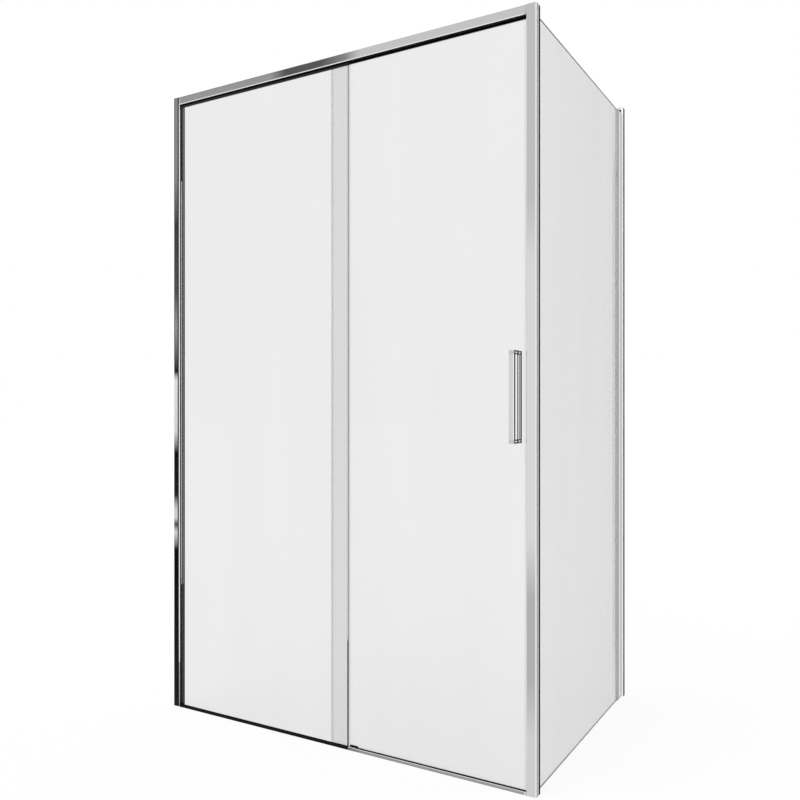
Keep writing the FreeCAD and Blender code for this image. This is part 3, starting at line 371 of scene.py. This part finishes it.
def patch_mask(tree, place, corners):
    """The mask of one patch in a material."""
    within = tree.nodes.new("ShaderNodeGroup")
    within.node_tree = box_mask
    within.inputs["Low"].default_value = corners[0]
    within.inputs["High"].default_value = corners[1]
    link(tree, (place.outputs["Object"], within.inputs["Place"]))
    return within.outputs["Mask"]


def recoloured(tree, tone, mask, level):
    """The tone with a plain grey where the mask is."""
    changed = tree.nodes.new("ShaderNodeMix")
    changed.data_type = "RGBA"
    changed.inputs["B"].default_value = (*grey(level), 1)
    link(tree, (mask, changed.inputs["Factor"]), (tone, changed.inputs["A"]))
    return changed.outputs["Result"]


def extruded(
    name, along, bright, dull, gloss, metallic=0.0, specular=0.5, relief=0.0002, tones=(), dark=(), satin=()
):
    """A finish with die lines along one axis.

    Each tone is a patch and its grey level. Dark patches are matt black and not metal. Satin patches are
    rougher. Most tones and dark patches in this script are painted shade, painted highlights and painted
    reflections."""
    lines_along = 3
    lines_across = 900
    matt_black = 0.006
    satin_roughness = 0.22
    finish = bpy.data.materials.new(name)
    finish.use_nodes = True
    tree = finish.node_tree
    shader = tree.nodes["Principled BSDF"]
    shader.inputs["Metallic"].default_value = metallic
    shader.inputs["Specular IOR Level"].default_value = specular
    place = tree.nodes.new("ShaderNodeTexCoord")
    stretch = tree.nodes.new("ShaderNodeMapping")
    stretch.inputs["Scale"].default_value = [lines_along if axis == along else lines_across for axis in "XYZ"]
    lines = tree.nodes.new("ShaderNodeGroup")
    lines.node_tree = extrusion_lines
    lines.inputs["Bright"].default_value = (*bright, 1)
    lines.inputs["Dull"].default_value = (*dull, 1)
    lines.inputs["Gloss low"].default_value = gloss[0]
    lines.inputs["Gloss high"].default_value = gloss[1]
    bump = tree.nodes.new("ShaderNodeBump")
    bump.inputs["Strength"].default_value = relief
    bump.inputs["Distance"].default_value = 0.0001
    link(
        tree,
        (place.outputs["Object"], stretch.inputs["Vector"]),
        (stretch.outputs["Vector"], lines.inputs["Stretched"]),
        (place.outputs["Object"], lines.inputs["Plain"]),
        (lines.outputs["Height"], bump.inputs["Height"]),
        (bump.outputs["Normal"], shader.inputs["Normal"]),
    )
    roughness = lines.outputs["Roughness"]
    for corners in satin:
        rougher = tree.nodes.new("ShaderNodeMath")
        rougher.operation = "MULTIPLY_ADD"
        rougher.inputs[1].default_value = satin_roughness
        link(tree, (patch_mask(tree, place, corners), rougher.inputs[0]), (roughness, rougher.inputs[2]))
        roughness = rougher.outputs[0]
    link(tree, (roughness, shader.inputs["Roughness"]))
    tone = lines.outputs["Tone"]
    for corners, level in tones:
        tone = recoloured(tree, tone, patch_mask(tree, place, corners), level)
    for corners in dark:
        mask = patch_mask(tree, place, corners)
        tone = recoloured(tree, tone, mask, matt_black)
        bare = tree.nodes.new("ShaderNodeMath")
        bare.operation = "SUBTRACT"
        bare.use_clamp = True
        bare.inputs[0].default_value = metallic
        for earlier in shader.inputs["Metallic"].links:
            link(tree, (earlier.from_socket, bare.inputs[0]))
        link(tree, (mask, bare.inputs[1]), (bare.outputs[0], shader.inputs["Metallic"]))
    link(tree, (tone, shader.inputs["Base Color"]))
    return finish


def bright_metal(name, along, tones=(), dark=(), satin=()):
    """Polished aluminium. With dark patches its plain shine is low, so that they stay black."""
    return extruded(
        name, along, bright=(0.83, 0.835, 0.84), dull=(0.77, 0.775, 0.785), gloss=(0.012, 0.028),
        metallic=1.0, specular=0.05 if dark else 0.5, tones=tones, dark=dark, satin=satin,
    )


def dress(finish, *names):
    """Give CAD pieces their finish."""
    for name in names:
        nodes[name].data.materials.clear()
        nodes[name].data.materials.append(finish)


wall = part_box("left_wall_channel")[0].x
channel_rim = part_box("left_wall_channel")[1].x
front_skin = near(front, -0.65, 0.85)
edge_reflection_foot = 1.08
# Painted shade: the rim by the jamb is black. Painted dark reflection: the front's outer edge is black above
# its middle.
channel_painted_shade = [
    patch(x=near(channel_rim, -1, 0.1), y=near(front, -0.65, 25.55)),
    patch(x=near(wall, -2.5, 2.6), y=front_skin, z=(edge_reflection_foot, beyond)),
]
dress(bright_metal("bright aluminium channel", "Z", dark=channel_painted_shade), "left_wall_channel")

# Left jamb: the same extrusion with a slot for the fixed pane. Its tongue, painted black as shade in the gap,
# slides in the channel and is held from inside by three screws under domed covers. Black lines of painted
# shade and dark reflection run along its sides, with painted shade at its foot. A plated cap closes both
# profiles.
jamb_skin = near(jamb_face, -0.05, 0.5)
jamb_back = near(jamb_face, -2, 0.5)
# Where the gasket lip's painted highlight ends and a painted black line above it starts.
highlight_head = 1.64
side_shade_head = 0.38
front_foot_shade_head = 0.14
# Painted shade and dark reflection: black on the tongue in the gap, at the shoulder, in lines along the sides
# and low on the back.
jamb_painted_shade = [
    patch(x=near(jamb_face, -30, -3.55), y=near(front, 0.55, 25.55)),
    patch(x=near(jamb_face, -4.5, -2.95), y=front_skin),
    patch(x=jamb_skin, y=near(front, 2.15, 3.55)),
    patch(x=jamb_skin, y=near(front, 10.35, 12.85), z=(highlight_head, beyond)),
    patch(x=jamb_skin, y=near(front, 12.85, 17.15)),
    patch(x=jamb_back, y=near(front, 21.35, 26.15)),
    patch(x=jamb_back, y=near(front, 9.85, 26.15), z=(-beyond, side_shade_head)),
]
# Painted shade: a darker grey low on the front.
front_foot_shade = patch(x=near(jamb_face, -4.5, 0.5), y=near(front, -0.65, 2.25), z=(-beyond, front_foot_shade_head))
dress(bright_metal("bright aluminium jamb", "Z", tones=[(front_foot_shade, 0.4)], dark=jamb_painted_shade), "left_jamb")
plated = extruded(
    "bright plated plastic", "Z", bright=(0.80, 0.80, 0.81), dull=(0.74, 0.745, 0.75), gloss=(0.03, 0.07),
    metallic=1.0,
)
dress(plated, "left_cap")
steel = extruded(
    "bright steel", "Z", bright=(0.70, 0.71, 0.72), dull=(0.60, 0.61, 0.62), gloss=(0.15, 0.28), metallic=1.0
)
dress(steel, "jamb_screws")


def turned(name, profile, ring=False):
    """A mesh turned about Z from (radius, height) points in mm. A third entry makes a point six-sided.

    A ring joins its last point to its first; otherwise both ends are closed."""
    sides = 48
    sharp_edge = math.radians(32)
    shape = bmesh.new()
    hoops = []
    for radius, height, *six_sided in profile:
        hoop = []
        for i in range(sides):
            angle = math.tau * i / sides
            reach = radius / 1000
            if six_sided:
                reach /= math.cos(angle % (math.tau / 6) - math.tau / 12)
            hoop.append(shape.verts.new((reach * math.cos(angle), reach * math.sin(angle), height / 1000)))
        hoops.append(hoop)
    pairs = list(zip(hoops, hoops[1:]))
    if ring:
        pairs.append((hoops[-1], hoops[0]))
    else:
        shape.faces.new(hoops[0])
        shape.faces.new(hoops[-1])
    for low, high in pairs:
        for i in range(sides):
            j = (i + 1) % sides
            shape.faces.new((low[i], low[j], high[j], high[i]))
    bmesh.ops.recalc_face_normals(shape, faces=shape.faces)
    for face in shape.faces:
        face.smooth = True
    mesh = bpy.data.meshes.new(name)
    shape.to_mesh(mesh)
    shape.free()
    mesh.set_sharp_from_angle(angle=sharp_edge)
    return mesh


def row_tree():
    """Copies of a small turned piece at even steps along a line."""
    tree = bpy.data.node_groups.new("row of fixings", "GeometryNodeTree")
    for name, kind in (
        ("Fixing", "Object"), ("First", "Vector"), ("Step", "Vector"), ("Count", "Int"), ("Turn", "Vector"),
        ("Finish", "Material"),
    ):
        tree.interface.new_socket(name, in_out="INPUT", socket_type=f"NodeSocket{kind}")
    tree.interface.new_socket("Row", in_out="OUTPUT", socket_type="NodeSocketGeometry")
    entry = tree.nodes.new("NodeGroupInput")
    fixing = tree.nodes.new("GeometryNodeObjectInfo")
    line = tree.nodes.new("GeometryNodeMeshLine")
    line.mode = "OFFSET"
    turn = tree.nodes.new("FunctionNodeEulerToRotation")
    copies = tree.nodes.new("GeometryNodeInstanceOnPoints")
    solid = tree.nodes.new("GeometryNodeRealizeInstances")
    painted = tree.nodes.new("GeometryNodeSetMaterial")
    leave = tree.nodes.new("NodeGroupOutput")
    link(
        tree,
        (entry.outputs["Fixing"], fixing.inputs["Object"]),
        (entry.outputs["Count"], line.inputs["Count"]),
        (entry.outputs["First"], line.inputs["Start Location"]),
        (entry.outputs["Step"], line.inputs["Offset"]),
        (entry.outputs["Turn"], turn.inputs["Euler"]),
        (line.outputs["Mesh"], copies.inputs["Points"]),
        (fixing.outputs["Geometry"], copies.inputs["Instance"]),
        (turn.outputs["Rotation"], copies.inputs["Rotation"]),
        (copies.outputs["Instances"], solid.inputs["Geometry"]),
        (solid.outputs["Geometry"], painted.inputs["Geometry"]),
        (entry.outputs["Finish"], painted.inputs["Material"]),
        (painted.outputs["Geometry"], leave.inputs["Row"]),
    )
    return tree


fixing_row = row_tree()


def place_row(name, node, profile, count, along, seat, turn, finish, body):
    """Set a row of like turned fixings on a body, in place of the CAD node that holds them.

    The row fills the node's box along one axis. The seat is another axis and the box's end on it, 0 for low
    or 1 for high, where the profile's zero height lies."""
    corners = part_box(node)
    radius = max(point[0] for point in profile) / 1000
    row_axis = "XYZ".index(along)
    seat_axis = "XYZ".index(seat[0])
    first = (corners[0] + corners[1]) / 2
    first[seat_axis] = corners[seat[1]][seat_axis]
    last = first.copy()
    first[row_axis] = corners[0][row_axis] + radius
    last[row_axis] = corners[1][row_axis] - radius
    fixing = bpy.data.objects.new(f"{name} single", turned(f"{name} single", profile))
    row = bpy.data.objects.new(name, bpy.data.meshes.new(name))
    scene.collection.objects.link(row)
    layout = row.modifiers.new("row", "NODES")
    layout.node_group = fixing_row
    values = {
        "Fixing": fixing,
        "First": tuple(first),
        "Step": tuple((last - first) / (count - 1)),
        "Count": count,
        "Turn": turn,
        "Finish": finish,
    }
    for socket in fixing_row.interface.items_tree:
        if socket.in_out == "INPUT":
            layout[socket.identifier] = values[socket.name]
    row.update_tag()
    graph = bpy.context.evaluated_depsgraph_get()
    solid = bpy.data.meshes.new_from_object(row.evaluated_get(graph))
    row.modifiers.clear()
    row.data = solid
    bpy.data.objects.remove(fixing)
    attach(row, body)
    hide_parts(node)


domed_cover = [
    (4.4, 0.4), (4.9, 0), (5, 0.25), (5, 1.1), (4.75, 1.8), (4.1, 2.4), (3, 2.8), (1.6, 2.97), (0.4, 3),
]
quarter_turn = math.radians(-90)
place_row(
    "domed_jamb_covers", "jamb_screw_covers", domed_cover, count=3, along="Z", seat=("Y", 0),
    turn=(quarter_turn, 0, 0), finish=plated, body="frame",
)

# Corner post: a square tube of the same extrusion, with a plated cap and, in its recess, the white
# jacketed magnet strip that holds the door shut.
dress(bright_metal("bright aluminium upright", "Z"), "corner_post")
dress(plated, "post_cap")
white_plastic = extruded(
    "white plastic", "Z", bright=(0.84, 0.84, 0.83), dull=(0.79, 0.79, 0.78), gloss=(0.35, 0.5)
)
dress(white_plastic, "post_magnet")

# Top rail: an extrusion with a polished fascia between the jamb and the post. It is painted black inside,
# where the wheels run, and along the fascia's lower edge, as shade; the fascia's top edge has a painted
# reflection, duller to the left. Moulded plugs in its ends are screwed to the uprights.
rail_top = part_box("top_rail")[1].z
fascia = near(front, -0.65, 2.35)
fascia_edge = near(rail_top, -2.6, 0)
reflection_step = -0.09
# Painted shade: black inside the track and along the fascia's lower edge.
rail_painted_shade = [
    patch(y=near(front, 1.4, 24.65), z=near(rail_top, -30, -1.4)),
    patch(y=fascia, z=near(rail_top, -30, -23.7)),
]
# Painted reflection: the fascia's top edge is darker left of the step and lighter right of it.
rail_painted_reflection = [
    (patch(x=(-beyond, reflection_step), y=fascia, z=fascia_edge), 0.4),
    (patch(x=(reflection_step, beyond), y=fascia, z=fascia_edge), 0.72),
]
dress(bright_metal("bright aluminium rail", "X", tones=rail_painted_reflection, dark=rail_painted_shade), "top_rail")
black_plastic = extruded(
    "black plastic", "X", bright=grey(0.006), dull=grey(0.012), gloss=(0.5, 0.6), specular=0.05, relief=0.05
)
dress(black_plastic, "rail_plug_left", "rail_plug_right")
dress(steel, "rail_plug_screws")

# Bottom sill: a low extrusion with a rounded lip, bedded down between the jamb and the post. It is painted
# black inside as shade, and all over under the fixed pane as a dark reflection.
pane_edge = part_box("fixed_pane")[1].x
sill_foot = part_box("bottom_sill")[0].z
# Painted shade inside, and painted dark reflection under the fixed pane.
sill_painted_shade = [
    patch(y=near(front, 1.45, 24.65), z=near(sill_foot, 1.2, 7.5)),
    patch(x=(-beyond, pane_edge)),
]
dress(bright_metal("bright aluminium sill", "X", dark=sill_painted_shade), "bottom_sill")


# Fixed pane: clear toughened glass in rubber gaskets that the jamb, the rail and the sill hold. Dark lines of
# painted reflection run down its free edge, blacker low down, painted shade darkens it inside the rail, and
# its free edge has a painted glow. The jamb's gasket has a painted highlight on its lip, and a clear lipped
# strip covers the free edge.
def faint_film():
    """Soft upright streaks of dried water, as a mask."""
    group = bpy.data.node_groups.new("faint film", "ShaderNodeTree")
    group.interface.new_socket("Place", in_out="INPUT", socket_type="NodeSocketVector")
    group.interface.new_socket("Film", in_out="OUTPUT", socket_type="NodeSocketFloat")
    entry = group.nodes.new("NodeGroupInput")
    stretch = group.nodes.new("ShaderNodeMapping")
    stretch.inputs["Scale"].default_value = (2.2, 2.2, 0.25)
    patches = group.nodes.new("ShaderNodeTexNoise")
    patches.inputs["Scale"].default_value = 3.5
    patches.inputs["Detail"].default_value = 5
    spread = group.nodes.new("ShaderNodeMapRange")
    spread.inputs["From Min"].default_value = 0.35
    spread.inputs["From Max"].default_value = 0.65
    leave = group.nodes.new("NodeGroupOutput")
    link(
        group,
        (entry.outputs["Place"], stretch.inputs["Vector"]),
        (stretch.outputs["Vector"], patches.inputs["Vector"]),
        (patches.outputs["Fac"], spread.inputs["Value"]),
        (spread.outputs["Result"], leave.inputs["Film"]),
    )
    return group


film_mask = faint_film()


def clear(name, tint, filmed, gloss, ior, shine, edges=(), painted_glow_edge=None):
    """A clear finish with a faint film. Each edge is a patch and the level of its darker tint: painted shade
    and dark reflection.

    A painted glow edge is a patch whose surface glows faintly: painted light along the glass's edge."""
    finish = bpy.data.materials.new(name)
    finish.use_nodes = True
    tree = finish.node_tree
    shader = tree.nodes["Principled BSDF"]
    shader.inputs["IOR"].default_value = ior
    shader.inputs["Specular Tint"].default_value = (*grey(shine), 1)
    shader.inputs["Transmission Weight"].default_value = 1.0
    place = tree.nodes.new("ShaderNodeTexCoord")
    film = tree.nodes.new("ShaderNodeGroup")
    film.node_tree = film_mask
    body = tree.nodes.new("ShaderNodeMix")
    body.data_type = "RGBA"
    body.inputs["A"].default_value = (*tint, 1)
    body.inputs["B"].default_value = (*filmed, 1)
    gloss_range = tree.nodes.new("ShaderNodeMapRange")
    gloss_range.inputs["To Min"].default_value = gloss[0]
    gloss_range.inputs["To Max"].default_value = gloss[1]
    link(
        tree,
        (place.outputs["Object"], film.inputs["Place"]),
        (film.outputs["Film"], body.inputs["Factor"]),
        (film.outputs["Film"], gloss_range.inputs["Value"]),
        (gloss_range.outputs["Result"], shader.inputs["Roughness"]),
    )
    tone = body.outputs["Result"]
    for corners, level in edges:
        tone = recoloured(tree, tone, patch_mask(tree, place, corners), level)
    link(tree, (tone, shader.inputs["Base Color"]))
    if painted_glow_edge:
        shader.inputs["Emission Strength"].default_value = 0.55
        link(tree, (patch_mask(tree, place, painted_glow_edge), shader.inputs["Emission Color"]))
    return finish


glass_tint = (0.842, 0.843, 0.843)
glass_film = (0.828, 0.829, 0.829)
glass_gloss = (0.0, 0.004)
glass_ior = 1.5
pane_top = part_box("fixed_pane")[1].z
shade_line_head = 0.297
# Painted reflection down the free edge, blacker low down; painted shade where the pane goes into the rail.
fixed_edge_shade = [
    (patch(x=near(pane_edge, -2.3, -0.2)), 0.04),
    (patch(x=near(pane_edge, -4.3, -0.2), z=(-beyond, shade_line_head)), 0.001),
    (patch(z=near(pane_top, -23.6, 30)), 0.02),
]
# Painted glow: the fixed pane's free edge glows faintly.
glowing_free_edge = patch(x=near(pane_edge, -0.2, 13.5), z=(-beyond, pane_top - 0.024))
fixed_glass = clear(
    "fixed glass", glass_tint, glass_film, glass_gloss, glass_ior, shine=0.3, edges=fixed_edge_shade,
    painted_glow_edge=glowing_free_edge,
)
dress(fixed_glass, "fixed_pane")


def rubber(name, tones=()):
    """Matt black rubber, with patches of other tones."""
    return extruded(
        name, "Z", bright=grey(0.004), dull=grey(0.01), gloss=(0.6, 0.75), specular=0.03, relief=0.1,
        tones=tones,
    )


black_rubber = rubber("black rubber")
dress(black_rubber, "fixed_gasket_top", "fixed_gasket_foot")
highlight_foot = 0.4
# Painted highlight: a pale band on the side gasket's lip between two heights.
lip_highlight = patch(x=near(jamb_face, -30, 4.5), y=near(front, 9.05, 10.55), z=(highlight_foot, highlight_head))
dress(rubber("rubber with a painted highlight", tones=[(lip_highlight, 0.85)]), "fixed_gasket_side")
clear_strip = clear("clear strip", grey(0.95), grey(0.93), gloss=(0.02, 0.06), ior=1.06, shine=0.3)
dress(clear_strip, "fixed_edge_seal")

# Fillers: extruded strips of black plastic, snapped into the rail and the sill along the door's opening
# to close the slots that hold the fixed pane beside it.
dress(black_plastic, "rail_filler", "sill_filler")

# Door guide: a black plastic block in the sill beside the fixed pane's free edge, with a slot that keeps
# the door's foot upright. Two small socket screws hold it down.
dress(black_plastic, "door_guide")
low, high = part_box("door_guide_screws")
length = (high.z - low.z) * 1000
small_screw = [
    (0.7, -length), (1.1, 0.4 - length), (1.1, -1.1), (1.95, -1.1), (2, -1), (2, -0.45), (1.75, -0.12),
    (1.35, 0), (0.95, 0, "six"), (0.9, -0.75, "six"),
]
place_row(
    "guide_socket_screws", "door_guide_screws", small_screw, count=2, along="X", seat=("Z", 1),
    turn=(0, 0, 0), finish=steel, body="frame",
)

# Side pane: the same glass, tinted darker as painted shade, between the post and the side jamb. Dark lines of
# painted reflection run along its top and foot. It has a rubber gasket at the post, a white one at the jamb
# and a clear strip under its foot.
low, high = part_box("side_pane")
# Painted reflection: dark lines along the top and foot.
side_edge_shade = [(patch(z=near(high.z, -3, 30)), 0.02), (patch(z=near(low.z, -30, 3)), 0.06)]
# Painted shade: this glass is tinted darker than the front panes.
side_glass = clear(
    "side glass", (0.769, 0.769, 0.77), (0.752, 0.752, 0.753), glass_gloss, glass_ior, shine=0.5,
    edges=side_edge_shade,
)
dress(side_glass, "side_pane")
dress(black_rubber, "side_gasket_post")
dress(white_plastic, "side_gasket_jamb")
dress(clear_strip, "side_foot_strip")

# Side jamb and back wall channel: extrusions that telescope as at the left wall, held from inside by
# three screws under domed covers, with a plated cap. The jamb's inner leg is satin, with a painted
# highlight that makes it near white; a line of painted shade runs on its flank where it enters the channel,
# and the channel's front lip carries a painted highlight.
back_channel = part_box("side_wall_channel")[0].y
# Painted highlight: the channel's front lip is near white.
channel_lip_highlight = patch(x=near(post_side, -7.5, 1), y=near(back_channel, -1.05, 1.55))
dress(bright_metal("bright aluminium back channel", "Z", tones=[(channel_lip_highlight, 0.98)]), "side_wall_channel")
# Painted highlight on the jamb's inner leg, and painted shade in a dark line where the jamb enters the
# channel.
brightened_inner_leg = patch(x=near(post_side, -30, -13.5), y=near(back_channel, -60, 2.35))
contact_shade_line = patch(x=near(post_side, -7.5, -5.5), y=near(back_channel, -12.65, -4.65))
side_painted_light = [(brightened_inner_leg, 0.98), (contact_shade_line, 0.3)]
dress(bright_metal("bright aluminium side jamb", "Z", tones=side_painted_light, satin=[brightened_inner_leg]), "side_jamb")
dress(plated, "side_cap")
dress(steel, "side_jamb_screws")
pale_plated = extruded(
    "pale plated plastic", "Z", bright=grey(0.95), dull=grey(0.9), gloss=(0.2, 0.3), metallic=0.3
)
place_row(
    "domed_side_covers", "side_screw_covers", domed_cover, count=3, along="Z", seat=("X", 1),
    turn=(0, quarter_turn, 0), finish=pale_plated, body="frame",
)

# Sliding door: a pane of the same glass in a grey head profile, darker along its trailing edge as a painted
# reflection and nearly black at its top, in the rail, as painted shade. Clear strips seal its two upright
# edges and its foot, and the leading one holds a white jacketed magnet.
low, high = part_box("door_pane")
# Painted reflection on the trailing edge; painted shade at the top, inside the rail.
door_edge_shade = [(patch(x=near(low.x, -14.5, 1.2)), 0.62), (patch(z=near(high.z, -12, 30)), 0.02)]
door_glass = clear("door glass", glass_tint, glass_film, glass_gloss, glass_ior, shine=0.3, edges=door_edge_shade)
dress(door_glass, "door_pane")
grey_head = extruded(
    "grey anodised head", "X", bright=grey(0.09), dull=grey(0.07), gloss=(0.2, 0.3), metallic=1.0
)
dress(grey_head, "door_head_profile")
dress(clear_strip, "door_magnet_seal", "door_overlap_seal", "door_wiper")
dress(white_plastic, "door_magnet")

# Running gear: black plastic carriages screwed to the head profile, each with two grooved nylon wheels
# on shielded bearings and steel axles. Rubber stops in the rail end the travel.
dress(black_plastic, "carriage_left", "carriage_right")
dress(steel, "carriage_screws", "wheel_axles")
dress(black_rubber, "track_stop_open", "track_stop_shut")


def both_sides(half):
    """A ring's profile from the half below zero height, which the other half mirrors."""
    return half + [(radius, -height) for radius, height in reversed(half)]


tyre = both_sides([
    (4, -1.5), (4.1, -1.6), (5, -1.6), (5.3, -1.25), (7, -1.25), (7.3, -1.6), (8.4, -1.6), (8.63, -1.5),
    (8.7, -1.25), (8.63, -1), (8.4, -0.9), (8, -0.9),
])
bearing = both_sides([
    (1.65, -1.5), (1.75, -1.6), (2.4, -1.6), (2.5, -1.3), (3.3, -1.3), (3.4, -1.6), (3.9, -1.6), (3.98, -1.5),
])
for n in range(1, 5):
    for part, profile, finish, slot in (
        ("tyre", tyre, white_plastic, "white_plastic"), ("bearing", bearing, steel, "steel"),
    ):
        node = f"wheel_{part}_{n}"
        low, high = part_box(node)
        mesh = turned(f"{part} {n}", profile, ring=True)
        mesh.transform(Matrix.Translation((low + high) / 2) @ Matrix.Rotation(quarter_turn, 4, "X"))
        mesh.materials.append(finish)
        wheel_part = bpy.data.objects.new(f"{part}_{n}", mesh)
        scene.collection.objects.link(wheel_part)
        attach(wheel_part, f"wheel_{n}")
        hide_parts(node)

# Handle: a hollow satin extrusion with black inlays and grooves, on a black pad against the glass. Painted
# dark reflection and shade blacken its side near the front, a band on the side and its back, and grey its
# front and another band on the side. Its black end caps carry bright trims, and socket screws with washers
# hold it from inside the door.
blade_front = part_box("handle_blade")[0].y
blade_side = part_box("handle_blade")[1].x
side_skin = near(blade_side, -0.5, 45)
# Painted reflection and shade: grey on the front and in a band on the side, black near the front, in a band
# and at the back.
front_reflection_tone = patch(x=near(blade_side, -30, -2.8), y=near(blade_front, -2.35, 0.65))
groove_reflection_tone = patch(x=side_skin, y=near(blade_front, 31.35, 36.75))
blade_painted_dark = [
    patch(x=near(blade_side, -0.3, 45), y=near(blade_front, -0.05, 8.25)),
    patch(x=side_skin, y=near(blade_front, 18.05, 24.45)),
    patch(y=near(blade_front, 40.65, 57.65)),
]
satin_blade = extruded(
    "satin aluminium", "Z", bright=grey(0.95), dull=grey(0.91), gloss=(0.12, 0.2), metallic=1.0,
    specular=0.05, tones=[(front_reflection_tone, 0.66), (groove_reflection_tone, 0.22)], dark=blade_painted_dark,
)
dress(satin_blade, "handle_blade")
black_cap = extruded(
    "black cap with a satin front", "Z", bright=grey(0.6), dull=grey(0.56), gloss=(0.12, 0.2), metallic=1.0,
    specular=0.05, dark=[patch(y=near(blade_front, 0.75, 57.65))],
)
dress(black_cap, "handle_caps")
dress(plated, "handle_cap_trims")
dress(black_rubber, "handle_gasket", "handle_inlays")
dress(clear_strip, "handle_sleeves")
dress(steel, "handle_washers")
low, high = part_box("handle_screws")
length = (high.y - low.y) * 1000
socket_screw = [
    (1, -length), (1.5, 0.6 - length), (1.5, -1.6), (2.9, -1.6), (3, -1.5), (3, -0.7), (2.65, -0.2), (2, 0),
    (1.3, 0, "six"), (1.25, -1.1, "six"),
]
place_row(
    "handle_socket_screws", "handle_screws", socket_screw, count=2, along="Z", seat=("Y", 1),
    turn=(quarter_turn, 0, 0), finish=steel, body="door",
)
